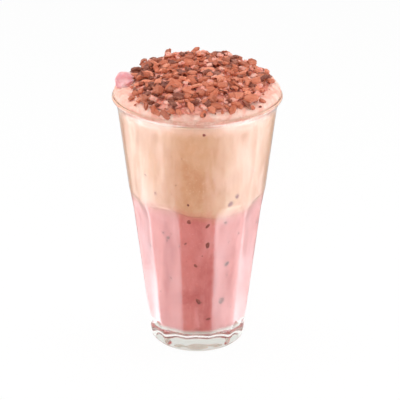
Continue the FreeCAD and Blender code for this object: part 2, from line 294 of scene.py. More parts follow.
class Nodes:
    """The node tree of one finish or of one shared effect."""

    def __init__(self, tree: bpy.types.NodeTree) -> None:
        """Take an emptied tree."""
        self.tree = tree
        tree.nodes.clear()

    def add(self, kind: str, **settings: object) -> bpy.types.Node:
        """Add a node.

        Args:
            kind: Its type.
            settings: Its own properties, by name.

        Returns:
            The node.
        """
        node = self.tree.nodes.new(kind)
        for key, value in settings.items():
            setattr(node, key, value)
        return node

    def feed(self, target: bpy.types.NodeSocket, source: object) -> None:
        """Link a socket to a source, or set it.

        Args:
            target: The socket.
            source: Another socket, or a plain value.
        """
        if isinstance(source, bpy.types.NodeSocket):
            self.tree.links.new(source, target)
        else:
            target.default_value = source

    def scaled(self, vector: bpy.types.NodeSocket, stretch: Point) -> bpy.types.NodeSocket:
        """A vector stretched along each axis.

        Args:
            vector: The vector.
            stretch: Its factor along each axis.

        Returns:
            The stretched vector.
        """
        node = self.add("ShaderNodeMapping")
        self.feed(node.inputs["Vector"], vector)
        node.inputs["Scale"].default_value = stretch
        return node.outputs["Vector"]

    def noise(self, vector: bpy.types.NodeSocket, scale: object, detail: float = 3.0, warp: float = 0.0,
              rough: float = 0.5) -> bpy.types.NodeSocket:
        """Cloudy noise over a vector.

        Args:
            vector: Where the noise is read.
            scale: How many clouds there are to a metre.
            detail: How many finer layers lie over them.
            warp: How far the clouds are drawn about.
            rough: How strong the finer layers are.

        Returns:
            The noise, about 0 to 1.
        """
        node = self.add("ShaderNodeTexNoise")
        self.feed(node.inputs["Vector"], vector)
        self.feed(node.inputs["Scale"], scale)
        node.inputs["Detail"].default_value = detail
        node.inputs["Roughness"].default_value = rough
        node.inputs["Distortion"].default_value = warp
        return node.outputs["Fac"]

    def spread(self, value: bpy.types.NodeSocket, low: float, high: float, out_low: float = 0.0,
               out_high: float = 1.0) -> bpy.types.NodeSocket:
        """A value between two limits, smoothly spread over two others.

        Args:
            value: The value.
            low: Where it starts to count.
            high: Where it stops.
            out_low: What comes out at low and under it.
            out_high: What comes out at high and over it.

        Returns:
            The spread value.
        """
        node = self.add("ShaderNodeMapRange", interpolation_type="SMOOTHSTEP")
        self.feed(node.inputs["Value"], value)
        limits = {"From Min": low, "From Max": high, "To Min": out_low, "To Max": out_high}
        for name, number in limits.items():
            node.inputs[name].default_value = number
        return node.outputs["Result"]

    def reckon(self, operation: str, first: object, second: object = 0.0) -> bpy.types.NodeSocket:
        """One step of arithmetic.

        Args:
            operation: Its name.
            first: The first number or socket.
            second: The second.

        Returns:
            The outcome.
        """
        node = self.add("ShaderNodeMath", operation=operation)
        self.feed(node.inputs[0], first)
        self.feed(node.inputs[1], second)
        return node.outputs[0]

    def blend(self, share: object, first: object, second: object) -> bpy.types.NodeSocket:
        """One colour passing to another.

        Args:
            share: 0 for the first colour, 1 for the second.
            first: The first, a colour or a socket.
            second: The second.

        Returns:
            The colour.
        """
        node = self.add("ShaderNodeMix", data_type="RGBA")
        self.feed(node.inputs[0], share)
        self.feed(node.inputs[6], solid(first) if isinstance(first, tuple) else first)
        self.feed(node.inputs[7], solid(second) if isinstance(second, tuple) else second)
        return node.outputs[2]

    def bump(self, height: bpy.types.NodeSocket, depth: float, strength: float = 1.0) -> bpy.types.NodeSocket:
        """A normal that follows a height.

        Args:
            height: The height, 0 to 1.
            depth: What a height of 1 stands for, in metres.
            strength: How far the normal follows it.

        Returns:
            The normal.
        """
        node = self.add("ShaderNodeBump")
        self.feed(node.inputs["Height"], height)
        node.inputs["Distance"].default_value = depth
        node.inputs["Strength"].default_value = strength
        return node.outputs["Normal"]

    def stored(self, name: str) -> bpy.types.NodeSocket:
        """The numbers that paint() stored on the piece."""
        return self.add("ShaderNodeAttribute", attribute_name=name).outputs["Fac"]

    def effect(self, group: bpy.types.NodeTree, **values: object) -> bpy.types.Node:
        """Place a shared effect.

        Args:
            group: The effect.
            values: Its inputs, by name, each a number or a socket.

        Returns:
            Its node.
        """
        node = self.add("ShaderNodeGroup")
        node.node_tree = group
        for name, value in values.items():
            self.feed(node.inputs[name], value)
        return node

    def principled(self, **values: object) -> bpy.types.Node:
        """Add a Principled shader.

        Args:
            values: Its inputs, by name with underscores for spaces, each a value or a socket.

        Returns:
            Its node.
        """
        node = self.add("ShaderNodeBsdfPrincipled")
        for name, value in values.items():
            self.feed(node.inputs[name.replace("_", " ")], value)
        return node

    def place(self) -> bpy.types.NodeSocket:
        """Object coordinates."""
        return self.add("ShaderNodeTexCoord").outputs["Object"]

    def parts(self, vector: bpy.types.NodeSocket) -> list[bpy.types.NodeSocket]:
        """Take a vector apart.

        Args:
            vector: The vector.

        Returns:
            Its three coordinates.
        """
        node = self.add("ShaderNodeSeparateXYZ")
        self.feed(node.inputs[0], vector)
        return list(node.outputs)

    def either(self, share: object, first: bpy.types.Node, second: bpy.types.Node) -> bpy.types.Node:
        """One shader passing to another.

        Args:
            share: 0 for the first shader, 1 for the second.
            first: The first shader's node.
            second: The second's.

        Returns:
            The node that joins them.
        """
        node = self.add("ShaderNodeMixShader")
        for number, source in enumerate((share, first.outputs[0], second.outputs[0])):
            self.feed(node.inputs[number], source)
        return node

    def number(self, share: object, first: object, second: object) -> bpy.types.NodeSocket:
        """One number passing to another.

        Args:
            share: 0 for the first number, 1 for the second.
            first: The first, a number or a socket.
            second: The second.

        Returns:
            The number.
        """
        node = self.add("ShaderNodeMix", data_type="FLOAT")
        self.feed(node.inputs[0], share)
        self.feed(node.inputs[2], first)
        self.feed(node.inputs[3], second)
        return node.outputs[0]

    def put_out(self, shader: bpy.types.Node, kind: str = "ShaderNodeOutputMaterial") -> None:
        """Make a shader the tree's surface."""
        self.feed(self.add(kind).inputs["Surface"], shader.outputs[0])


def solid(colour: Colour) -> tuple[float, float, float, float]:
    """An sRGB colour, as the linear, opaque colour that a socket takes."""
    linear = [c / 12.92 if c <= 0.04045 else ((c + 0.055) / 1.055) ** 2.4 for c in colour]
    return (linear[0], linear[1], linear[2], 1.0)


def new_material(name: str) -> tuple[bpy.types.Material, Nodes]:
    """Make a material with an empty node tree.

    Args:
        name: Name of the material.

    Returns:
        The material, and its nodes.
    """
    material = bpy.data.materials.new(name)
    material.use_nodes = True
    return material, Nodes(material.node_tree)


def new_effect(name: str, inputs: dict[str, float], outputs: tuple[str, ...]) -> tuple[Nodes, dict, dict]:
    """A shared effect with a Place input and number inputs.

    Args:
        name: Name of the effect.
        inputs: The number inputs and what they are at first.
        outputs: Names of the number outputs.

    Returns:
        Its nodes, its input sockets by name, and its output sockets by name.
    """
    group = bpy.data.node_groups.new(name, "ShaderNodeTree")
    group.interface.new_socket("Place", in_out="INPUT", socket_type="NodeSocketVector")
    for key, value in inputs.items():
        group.interface.new_socket(key, in_out="INPUT", socket_type="NodeSocketFloat").default_value = value
    for key in outputs:
        group.interface.new_socket(key, in_out="OUTPUT", socket_type="NodeSocketFloat")
    nodes = Nodes(group)
    taken = nodes.add("NodeGroupInput").outputs
    given = nodes.add("NodeGroupOutput").inputs
    return nodes, {s.name: s for s in taken if s.name}, {s.name: s for s in given if s.name}


def make_curdle() -> bpy.types.NodeTree:
    """Make the shared unevenness of whipped milk: soft clouds, and a finer curd that also gives a height.

    Returns:
        The effect, with inputs Place, Cloud and Curd and outputs Clouds and Curds.
    """
    nodes, taken, given = new_effect("curdle", {"Cloud": 60.0, "Curd": 420.0}, ("Clouds", "Curds"))
    clouds = nodes.noise(taken["Place"], taken["Cloud"], 2.0, 0.8)
    curds = nodes.noise(taken["Place"], taken["Curd"], 4.0, 0.3, 0.6)
    nodes.feed(given["Clouds"], nodes.spread(clouds, 0.34, 0.66))
    nodes.feed(given["Curds"], nodes.spread(curds, 0.3, 0.7))
    return nodes.tree


def make_bubbles() -> bpy.types.NodeTree:
    """Make the shared fine air bubbles: a mask that is 1 in the middle of each and 0 between them.

    Returns:
        The effect, with inputs Place, Scale and Size and output Mask.
    """
    nodes, taken, given = new_effect("bubbles", {"Scale": 900.0, "Size": 0.3}, ("Mask",))
    cells = nodes.add("ShaderNodeTexVoronoi", feature="F1")
    nodes.feed(cells.inputs["Vector"], taken["Place"])
    nodes.feed(cells.inputs["Scale"], taken["Scale"])
    nearness = nodes.reckon("SUBTRACT", 1.0, nodes.reckon("DIVIDE", cells.outputs["Distance"], taken["Size"]))
    chosen = nodes.add("ShaderNodeSeparateColor")
    nodes.feed(chosen.inputs[0], cells.outputs["Color"])
    some = nodes.reckon("GREATER_THAN", chosen.outputs[0], 0.55)
    nodes.feed(given["Mask"], nodes.reckon("MULTIPLY", nodes.spread(nearness, 0.0, 0.8), some))
    return nodes.tree


@dataclass(frozen=True)
class Effects:
    """The shared effects that the finishes take."""

    curdle: bpy.types.NodeTree
    bubbles: bpy.types.NodeTree


@dataclass(frozen=True)
class ShakeFinish:
    """A thick drink seen through its glass.

    Clouds of two shades with paler streaks and bubbles, the neighbour's shade where the two drinks meet, a
    painted reflection at the foot, a pale glare for the light that the thick glass base throws back, and a
    paler colour at the head.
    """

    name: str
    main: Colour
    deep: Colour
    pale: Colour
    neighbour: Colour
    scatter: Colour
    glare_and_head_pale: Colour
    streak: Colour

    def build(self, effects: Effects) -> bpy.types.Material:
        """Make the material.

        Args:
            effects: The shared effects.

        Returns:
            The material.
        """
        material, nodes = new_material(self.name)
        place = nodes.place()
        drawn_up = nodes.scaled(place, (1.0, 1.0, 0.6))
        curd = nodes.effect(effects.curdle, Place=drawn_up, Cloud=70.0, Curd=330.0)
        froth = nodes.effect(effects.bubbles, Place=place, Scale=620.0, Size=0.34)
        colour = nodes.blend(nodes.reckon("MULTIPLY", curd.outputs["Clouds"], 0.65), self.main, self.deep)
        streaks = nodes.noise(nodes.scaled(place, (1.0, 1.0, 0.25)), 75.0, 3.0, 0.6)
        colour = nodes.blend(nodes.spread(streaks, 0.5, 0.68, 0.0, 0.5), colour, self.streak)
        colour = nodes.blend(nodes.reckon("MULTIPLY", curd.outputs["Curds"], 0.22), colour, self.pale)
        colour = nodes.blend(nodes.reckon("MULTIPLY", froth.outputs["Mask"], 0.35), colour, self.pale)
        drift = nodes.reckon("SUBTRACT", nodes.noise(place, 170.0, 3.0, 1.2), 0.5)
        nearness = nodes.reckon("ADD", nodes.stored("meeting"), nodes.reckon("MULTIPLY", drift, 1.1))
        colour = nodes.blend(nodes.spread(nearness, 0.15, 1.1, 0.0, 0.55), colour, self.neighbour)
        # Painted reflection: near the foot the drink turns to a pale glare for the light of the thick glass
        # base; near the head it turns a paler colour.
        glare_and_head_share = nodes.reckon("ADD", nodes.stored("glare_and_head_paling"), nodes.reckon("MULTIPLY", drift, 0.5))
        colour = nodes.blend(nodes.spread(glare_and_head_share, 0.1, 0.95, 0.0, 0.9), colour, self.glare_and_head_pale)
        shader = nodes.principled(Base_Color=colour, Roughness=0.55, IOR=1.36, Specular_IOR_Level=0.12,
                                  Subsurface_Weight=0.35, Subsurface_Radius=self.scatter,
                                  Subsurface_Scale=0.006, Normal=nodes.bump(curd.outputs["Curds"], 0.0002))
        nodes.put_out(shader)
        return material


@dataclass(frozen=True)
class CreamFinish:
    """Soft whipped cream, with fine pits and a faint brown bloom where chocolate has rubbed off on it; on the
    heap's core the bloom is strong and is painted shade between the chips.
    """

    name: str
    main: Colour
    deep: Colour
    stain_and_shade: Colour
    stain_and_shade_share: float

    def build(self, effects: Effects) -> bpy.types.Material:
        """Make the material.

        Args:
            effects: The shared effects.

        Returns:
            The material.
        """
        material, nodes = new_material(self.name)
        place = nodes.place()
        curd = nodes.effect(effects.curdle, Place=place, Cloud=150.0, Curd=700.0)
        pits = nodes.effect(effects.bubbles, Place=place, Scale=1100.0, Size=0.36)
        colour = nodes.blend(curd.outputs["Clouds"], self.main, self.deep)
        # Brown patches: rubbed-off chocolate, and on the heap's core painted shade in the brown of the
        # shadows between chips.
        smear_and_shade = nodes.spread(nodes.noise(place, 260.0, 5.0, 0.6, 0.7), 0.50, 0.68, 0.0, self.stain_and_shade_share)
        colour = nodes.blend(smear_and_shade, colour, self.stain_and_shade)
        height = nodes.reckon("SUBTRACT", curd.outputs["Curds"], pits.outputs["Mask"])
        shader = nodes.principled(Base_Color=colour, Roughness=0.48, IOR=1.4, Specular_IOR_Level=0.4,
                                  Subsurface_Weight=0.3, Subsurface_Radius=(1.0, 0.45, 0.35),
                                  Subsurface_Scale=0.003, Normal=nodes.bump(height, 0.00025))
        nodes.put_out(shader)
        return material


@dataclass(frozen=True)
class ChocolateFinish:
    """Broken milk chocolate: each piece has its own tone, with a paler rubbed bloom and a fine break; the
    darkest pieces are partly painted shade, for the deep shadows between them.
    """

    name: str
    dark: Colour
    middle: Colour
    light: Colour
    bloom: Colour

    def build(self, effects: Effects) -> bpy.types.Material:
        """Make the material.

        Args:
            effects: The shared effects.

        Returns:
            The material.
        """
        material, nodes = new_material(self.name)
        place = nodes.place()
        tone = nodes.stored("tone")
        fine = nodes.effect(effects.curdle, Place=place, Cloud=420.0, Curd=1900.0)
        colour = nodes.blend(nodes.spread(tone, 0.0, 0.5), self.dark, self.middle)
        colour = nodes.blend(nodes.spread(tone, 0.5, 1.0), colour, self.light)
        rubbed = nodes.reckon("MULTIPLY", fine.outputs["Clouds"], fine.outputs["Curds"])
        colour = nodes.blend(nodes.reckon("MULTIPLY", rubbed, 0.4), colour, self.bloom)
        rough = nodes.spread(fine.outputs["Curds"], 0.0, 1.0, 0.38, 0.62)
        shader = nodes.principled(Base_Color=colour, Roughness=rough, IOR=1.5, Specular_IOR_Level=0.45,
                                  Subsurface_Weight=0.08, Subsurface_Radius=(1.0, 0.4, 0.2),
                                  Subsurface_Scale=0.001, Normal=nodes.bump(fine.outputs["Curds"], 0.00018))
        nodes.put_out(shader)
        return material


@dataclass(frozen=True)
class GlassFinish:
    """Clear pressed glass, faintly wavy and a little deeper in tint in its base, which is the thick glass's
    own tint and partly painted shade for dark reflections in the base's facets; lamps shine through it.
    """

    name: str
    tint: Colour
    # The base's tint: the thick glass's own, and painted shade for the dark reflections in its facets.
    thick: Colour

    def build(self) -> bpy.types.Material:
        """Make the material.

        Returns:
            The material.
        """
        material, nodes = new_material(self.name)
        place = nodes.place()
        waves = nodes.noise(nodes.scaled(place, (1.0, 1.0, 0.13)), 120.0, 1.5)
        height = nodes.parts(place)[2]
        # Deeper tint in the base: the thick glass's own tint, and painted shade for the dark-grey reflections
        # of its facets.
        colour = nodes.blend(nodes.spread(height, 0.007, 0.014), self.thick, self.tint)
        shader = nodes.principled(Base_Color=colour, Roughness=0.02, IOR=1.5, Transmission_Weight=1.0,
                                  Normal=nodes.bump(waves, 0.0006, 0.6))
        clear = nodes.add("ShaderNodeBsdfTransparent")
        clear.inputs["Color"].default_value = solid(self.tint)
        shadow = nodes.add("ShaderNodeLightPath").outputs["Is Shadow Ray"]
        nodes.put_out(nodes.either(shadow, shader, clear))
        return material


class Flavour(Enum):
    """The two drinks in the glass."""

    # The sixth colour is where each drink turns pale at its end: on strawberry a painted reflection, the pale
    # glare of the glass base at the foot; on cream a paler head.
    STRAWBERRY = ShakeFinish("strawberry_shake_finish", (0.85, 0.525, 0.505), (0.75, 0.38, 0.37),
                             (0.93, 0.66, 0.64), (0.84, 0.58, 0.48), (1.0, 0.40, 0.34), (0.93, 0.90, 0.87),
                             (0.93, 0.66, 0.65))
    CREAM = ShakeFinish("cream_shake_finish", (0.87, 0.68, 0.55), (0.81, 0.575, 0.43),
                        (0.94, 0.81, 0.70), (0.86, 0.56, 0.49), (1.0, 0.55, 0.36), (0.965, 0.80, 0.72),
                        (0.95, 0.79, 0.72))


PINK_CREAM = CreamFinish("pink_cream_finish", (0.99, 0.83, 0.77), (0.97, 0.71, 0.635),
                         (0.78, 0.44, 0.33), 0.25)
# On the heap's core the brown bloom is painted shade: the dark brown of the shadows between the chips, laid
# on in patches.
HEAP_CREAM = CreamFinish("heap_cream_finish", (0.95, 0.66, 0.59), (0.88, 0.53, 0.46),
                         (0.52, 0.26, 0.17), 0.6)
BIT_CREAM = CreamFinish("bit_cream_finish", (0.98, 0.71, 0.64), (0.95, 0.59, 0.52),
                        (0.74, 0.38, 0.29), 0.4)
ROSE_CREAM = CreamFinish("rose_cream_finish", (0.98, 0.83, 0.83), (0.89, 0.61, 0.63),
                         (0.74, 0.44, 0.44), 0.15)
# Its dark colour is partly painted shade: on the darkest flakes it stands for the deep shadows between
# pieces.
CHOCOLATE = ChocolateFinish("chocolate_finish", (0.45, 0.175, 0.085), (0.76, 0.38, 0.24), (0.94, 0.58, 0.45),
                            (0.96, 0.68, 0.56))
SPECKS = ChocolateFinish("speck_finish", (0.52, 0.25, 0.22), (0.65, 0.34, 0.29), (0.76, 0.45, 0.37),
                         (0.78, 0.50, 0.43))
# The second tint, in the base, is partly painted shade for the dark reflections in its facets.
CLEAR = GlassFinish("clear_glass_finish", (0.985, 0.985, 0.975), (0.96, 0.96, 0.93))


# ---------------------------------------------------------------- the glass


@dataclass
class Tumbler:
    """The clear glass: a cone with a flared lip, a thick hollowed base and round-bottomed flutes."""

    height: float
    rim_radius: float
    rim_wall: float = 2.3
    flare: float = 8.0
    neck_radius: float = 40.8
    neck_wall: float = 2.6
    base_radius: float = 24.8
    heel: float = 6.4
    floor: float = 10.0
    floor_wall: float = 4.5
    floor_round: float = 7.0
    recess_radius: float = 15.0
    recess_depth: float = 1.2
    flutes: int = 12
    flute_foot: float = 1.3
    flute_head: float = 1.9
    flute_top: float = 86.0
    flute_arch: float = 11.0
    flute_round: float = 34.0
    ridge: float = 0.6
    into_wall: float = 0.22
    columns: int = 384

    def __post_init__(self) -> None:
        """Work out the slopes of the wall's two sides, the heights and distances that they run between, and
        the inside's outline.
        """
        self.neck_height = self.height - self.flare
        self.lip_height = self.height - self.rim_wall / 2
        self.slope = (self.neck_radius - self.base_radius) / self.neck_height
        self.neck_inside = self.neck_radius - self.neck_wall
        self.floor_radius = self.base_radius + self.slope * self.floor - self.floor_wall
        self.slope_inside = (self.neck_inside - self.floor_radius) / (self.neck_height - self.floor)
        self.inside = self.inner_outline()

    def fillet(self, radius: float, slope: float, wall: float,
               level: float) -> tuple[tuple[float, float], float]:
        """Centre of the rounding between a level and a wall that leans outwards, and the wall's lean.

        Args:
            radius: Radius of the rounding.
            slope: Run of the wall outwards for each unit of height.
            wall: Distance of the wall from the axis at the level.
            level: Height of the level.

        Returns:
            The centre, and the angle in degrees by which the wall leans.
        """
        centre = (wall + slope * radius - radius * math.hypot(1.0, slope), level + radius)
        return centre, math.degrees(math.atan(slope))

    def outer_outline(self) -> np.ndarray:
        """The outline from the middle of the hollow under the foot, round the heel and up to the lip.

        Returns:
            Its points, each a distance from the axis and a height.
        """
        crown = (self.recess_radius ** 2 + self.recess_depth ** 2) / (2 * self.recess_depth)
        reach = np.linspace(0.8, self.recess_radius, 12)
        hollow = np.stack([reach, self.recess_depth - crown + np.sqrt(crown ** 2 - reach ** 2)], -1)
        centre, lean = self.fillet(self.heel, self.slope, self.base_radius, 0.0)
        heel = round_arc(centre, self.heel, -90.0, -lean, 16)
        foot = straight((self.recess_radius, 0.0), tuple(heel[0]), 5)
        shoulder = self.flute_top - self.flute_arch
        bend = (self.base_radius + self.slope * shoulder, shoulder)
        head = (self.base_radius + self.slope * (self.flute_top + 1.0), self.flute_top + 1.0)
        low = straight(tuple(heel[-1]), bend, 44)
        arch = straight(bend, head, 26)
        high = straight(head, (self.neck_radius, self.neck_height), 18)
        flare = tangent_arc((self.neck_radius, self.neck_height), (self.slope, 1.0),
                            (self.rim_radius, self.lip_height), 10)
        return np.concatenate([hollow, foot[1:], heel[1:], low[1:], arch[1:], high[1:], flare[1:]])

    def inner_outline(self) -> np.ndarray:
        """The outline of the inside, from the middle of the floor up to the lip.

        Returns:
            Its points, each a distance from the axis and a height.
        """
        centre, lean = self.fillet(self.floor_round, self.slope_inside, self.floor_radius, self.floor)
        corner = round_arc(centre, self.floor_round, -90.0, -lean, 14)
        flat = straight((0.8, self.floor), tuple(corner[0]), 8)
        wall = straight(tuple(corner[-1]), (self.neck_inside, self.neck_height), 40)
        flare = tangent_arc((self.neck_inside, self.neck_height), (self.slope_inside, 1.0),
                            (self.rim_radius - self.rim_wall, self.lip_height), 10)
        return np.concatenate([flat, corner[1:], wall[1:], flare[1:]])

    def inner_reach(self, height: np.ndarray) -> np.ndarray:
        """Distance of the inside wall from the axis at a height above the floor."""
        start = int(np.argmax(self.inside[:, 1] > self.floor + 1e-6)) - 1
        return np.interp(height, self.inside[start:, 1], self.inside[start:, 0])

    def flute_reach(self, angle: np.ndarray, height: np.ndarray, following: int) -> np.ndarray:
        """Distance from the axis at which a flute cuts, or a very long one where none does.

        A flute is the skin of a round bar that leans against the wall: with c the distance of the bar's
        axis and b its radius at that height, the skin is at c cos a - sqrt(b^2 - c^2 sin^2 a) for an angle a
        from the flute's middle.  Above the shoulder b shrinks along an arc, which gives the flute its arch.

        Args:
            angle: Angle round the glass; a flute's middle faces the front.
            height: Height above the foot.
            following: 0 for the nearest flute, 1 for the next nearest.

        Returns:
            The distance.
        """
        shoulder = self.flute_top - self.flute_arch
        lean = self.slope - (self.flute_head - self.flute_foot) / shoulder
        line = self.base_radius - self.flute_foot + lean * height
        axis = line + self.flute_round
        bend = (self.base_radius - self.flute_foot + lean * shoulder, shoulder)
        leave = (self.base_radius + self.slope * self.flute_top, self.flute_top)
        arch = tangent_arc(bend, (lean, 1.0), leave, 40)
        beyond = leave[0] + 3.0 * (height - self.flute_top)
        middle = np.where(height < shoulder, line, np.interp(height, arch[:, 1], arch[:, 0]))
        middle = np.where(height > self.flute_top, beyond, middle)
        bar = np.maximum(axis - middle, 0.0)
        pitch = TURN / self.flutes
        near = (angle + TURN / 4 + pitch / 2) % pitch - pitch / 2
        near = near - np.copysign(pitch, near) * following
        room = bar ** 2 - (axis * np.sin(near)) ** 2
        cut = axis * np.cos(near) - np.sqrt(np.maximum(room, 0.0))
        missing = np.sqrt(np.maximum(-room, 0.0))
        return cut + 3.0 * missing

    def skin(self) -> Skin:
        """The whole glass: under the foot, up the outside, over the half-round lip and down the inside.

        Outside, the distance from the axis is the least of the wall's and the two nearest flutes', rounded
        over the ridges: -k ln(sum of exp(-d / k)) over the three distances d.

        Returns:
            The closed skin.
        """
        outer = self.outer_outline()
        angle, reach, height = turned(outer, self.columns)
        more = np.stack([self.flute_reach(angle, height, k) - reach for k in (0, 1)])
        reach = reach - self.ridge * np.log(1.0 + np.exp(-np.minimum(more, 40.0) / self.ridge).sum(0))
        half = self.rim_wall / 2
        lip = round_arc((self.rim_radius - half, self.lip_height), half, 0.0, 180.0, 12)
        rest = np.concatenate([lip[1:-1], self.inside[::-1]])
        rings = np.concatenate([upright(angle, reach, height), upright(*turned(rest, self.columns))])
        return closed_skins(rings[None])

    def make(self, finish: GlassFinish) -> bpy.types.Object:
        """Build the glass and dress it.

        Args:
            finish: Its finish.

        Returns:
            The piece.
        """
        piece = new_piece("fluted_glass", self.skin())
        piece.data.materials.append(finish.build())
        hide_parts("tumbler")
        return piece


# ---------------------------------------------------------------- what fills it


@dataclass
class Shakes:
    """The two drinks, which touch the glass and meet on a gently wandering line."""

    glass: Tumbler
    meeting: float
    top: float
    meeting_blur: float = 5.5
    tuck: float = 1.2
    tuck_inset: float = 0.08
    under_top: float = 0.4
    corner_top: float = 17.5
    # The foot's band is painted glare from the glass base, the head's a paler colour; each pair gives where
    # the band begins and where it is full, above the floor and under the top.
    foot_glare: tuple[float, float] = (4.6, 1.0)
    head_fade: tuple[float, float] = (9.0, 2.0)
    columns: int = 288

    def meeting_line(self) -> np.ndarray:
        """Height of the line between the drinks: level, with a sway and a dip a little right of the front.

        The dip is -3 exp(-(a / 24 degrees)^2), with a the angle from its middle; the sway is three cosines.

        Returns:
            The height for each column.
        """
        angle = round_angles(self.columns)
        dip = np.exp(-((((angle - np.radians(-66.0) + math.pi) % TURN) - math.pi) / np.radians(24.0)) ** 2)
        sway = 0.9 * np.cos(3 * angle + 0.4) + 0.6 * np.cos(7 * angle + 2.0) + 0.35 * np.cos(13 * angle)
        return self.meeting + 0.8 + sway * 0.8 - 3.0 * dip

    def column(self, low: object, high: object, rows: int, inset: float = 0.0) -> np.ndarray:
        """Rings up the wall between two heights.

        Args:
            low: The lower height, for all columns or for each.
            high: The upper height.
            rows: How many rings.
            inset: How far they keep back from reaching into the wall.

        Returns:
            The rings, rows x columns x 3.
        """
        low, high = np.broadcast_to(low, self.columns), np.broadcast_to(high, self.columns)
        height = low + (high - low) * np.linspace(0.0, 1.0, rows)[:, None]
        reach = self.glass.inner_reach(height) + self.glass.into_wall - inset
        return upright(np.broadcast_to(round_angles(self.columns), height.shape), reach, height)

    def lower_rings(self, line: np.ndarray) -> np.ndarray:
        """Rings of the lower drink.

        It has a flat foot just inside the glass's floor, its rounded corner, the wall up to the line, and a
        flat head.

        Args:
            line: Height of the line between the drinks.

        Returns:
            The rings.
        """
        sunk = self.glass.into_wall
        corner = self.column(self.glass.floor, self.corner_top, 14)
        corner[..., 2] -= sunk * np.linspace(1.0, 0.0, 14)[:, None]
        foot = corner[0][None] * np.array([1.0, 1.0, 0.0]) + np.array([0.0, 0.0, self.glass.floor - sunk])
        body = self.column(self.corner_top, line, 60)
        wall = np.concatenate([foot, corner[1:], body[1:]])
        return np.concatenate([disc(wall[0], 9), wall, disc(wall[-1], 9)[::-1]])

    def upper_rings(self, line: np.ndarray) -> np.ndarray:
        """Rings of the upper drink: tucked in under the line, up the wall, and flat at foot and head.

        Args:
            line: Height of the line between the drinks.

        Returns:
            The rings.
        """
        tucked = self.column(line - self.tuck, line, 4, self.tuck_inset)
        wall = np.concatenate([tucked[:-1], self.column(line, self.top - self.under_top, 44)])
        return np.concatenate([disc(wall[0], 9), wall, disc(wall[-1], 9)[::-1]])

    def paint_bands(self, piece: bpy.types.Object, rings: np.ndarray, line: np.ndarray) -> None:
        """Store on a drink how near each point is to the meeting line, and how far it turns pale: at the foot
        as a painted reflection of the glass base's glare, at the head as a paler colour.

        Args:
            piece: The drink.
            rings: Its rings.
            line: Height of the line between the drinks.
        """
        height = rings[..., 2]
        near = np.clip(1.0 - np.abs(height - line) / self.meeting_blur, 0.0, 1.0)
        # Painted reflection: the glass base's pale glare, full near the floor.
        begin, end = self.foot_glare
        foot = np.clip((self.glass.floor + begin - height) / (begin - end), 0.0, 1.0)
        begin, end = self.head_fade
        head = np.clip((height - self.top + begin) / (begin - end), 0.0, 1.0)
        for name, values in (("meeting", near.reshape(-1)), ("glare_and_head_paling", (foot + head).reshape(-1))):
            paint(piece, name, np.append(values, [values[0], values[-1]]))

    def make(self, effects: Effects) -> list[bpy.types.Object]:
        """Build and dress both drinks.

        Args:
            effects: The shared effects.

        Returns:
            The two pieces.
        """
        line = self.meeting_line()
        made = []
        for name, rings, node, flavour in (
                ("strawberry_drink", self.lower_rings(line), "strawberry_shake", Flavour.STRAWBERRY),
                ("cream_drink", self.upper_rings(line), "cream_shake", Flavour.CREAM)):
            piece = new_piece(name, closed_skins(rings[None]))
            self.paint_bands(piece, rings, line)
            piece.data.materials.append(flavour.value.build(effects))
            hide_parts(node)
            made.append(piece)
        return made


# The larger specks: a bearing from the front in degrees, a height and a size.
LOWER_SPECKS = [
    (-8.0, 79.0, 3.2), (10.0, 76.5, 3.8), (27.0, 77.0, 2.8), (10.5, 65.0, 4.6), (-2.0, 53.0, 3.6),
    (32.0, 52.0, 4.4), (1.0, 31.5, 5.0), (29.0, 30.5, 4.6), (-29.0, 68.0, 2.8), (-52.0, 60.0, 2.8),
    (-30.0, 44.0, 2.4), (14.0, 20.5, 3.0), (-12.0, 66.0, 2.2),
]
UPPER_SPECKS = [
    (30.0, 88.0, 4.4), (36.0, 91.5, 3.4), (5.0, 129.0, 2.4), (-47.0, 102.0, 2.0), (58.0, 84.5, 2.4),
    (-38.0, 93.0, 2.2), (-8.0, 89.0, 1.8),
]


@dataclass
class Specks:
    """Dark specks of fruit and chocolate that lie in a drink, against the glass.

    Each chosen one is a bearing from the front in degrees, a height and a size.
    """

    glass: Tumbler
    drink: str
    low: float
    high: float
    count: int
    mean_size: float
    tone: float
    chosen: list[Point]
    seed: int
    thick: float = 0.8

    def make(self, finish: bpy.types.Material) -> bpy.types.Object:
        """Build flat, uneven pebbles, laid on the inside of the wall.

        Args:
            finish: Their material.

        Returns:
            The piece.
        """
        rng = np.random.default_rng(self.seed)
        bearings, heights, sizes = zip(*self.chosen)
        bearing = np.append(rng.uniform(-180.0, 180.0, self.count), bearings)
        height = np.append(rng.uniform(self.low, self.high, self.count), heights)
        size = np.append(rng.lognormal(math.log(self.mean_size), 0.35, self.count), sizes)
        total = len(bearing)
        angle = np.radians(bearing - 90.0)
        normal = np.stack([np.cos(angle), np.sin(angle), np.full(total, -self.glass.slope_inside)], -1)
        normal /= np.linalg.norm(normal, axis=1, keepdims=True)
        axes = leaning_axes(normal, rng.uniform(0, TURN, total), rng.uniform(0, 0.06, total),
                            rng.uniform(0, TURN, total))
        reach = self.glass.inner_reach(height) + self.glass.into_wall
        centre = upright(angle, reach, height)
        local = pebble_rings(rng, total, 4, 8, 0.35)
        wide = size * rng.uniform(0.5, 0.9, total)
        local *= np.stack([size, wide, np.full(total, self.thick)], -1)[:, None, None] / 2
        rings = np.einsum("nij,nrcj->nrci", axes, local) + centre[:, None, None]
        piece = new_piece(self.drink + "_specks", closed_skins(rings))
        tone = np.clip(rng.normal(self.tone, 0.2, total), 0.0, 1.0)
        paint(piece, "tone", np.repeat(tone, len(piece.data.vertices) // total))
        piece.data.materials.append(finish)
        return piece


# ---------------------------------------------------------------- what stands above the lip


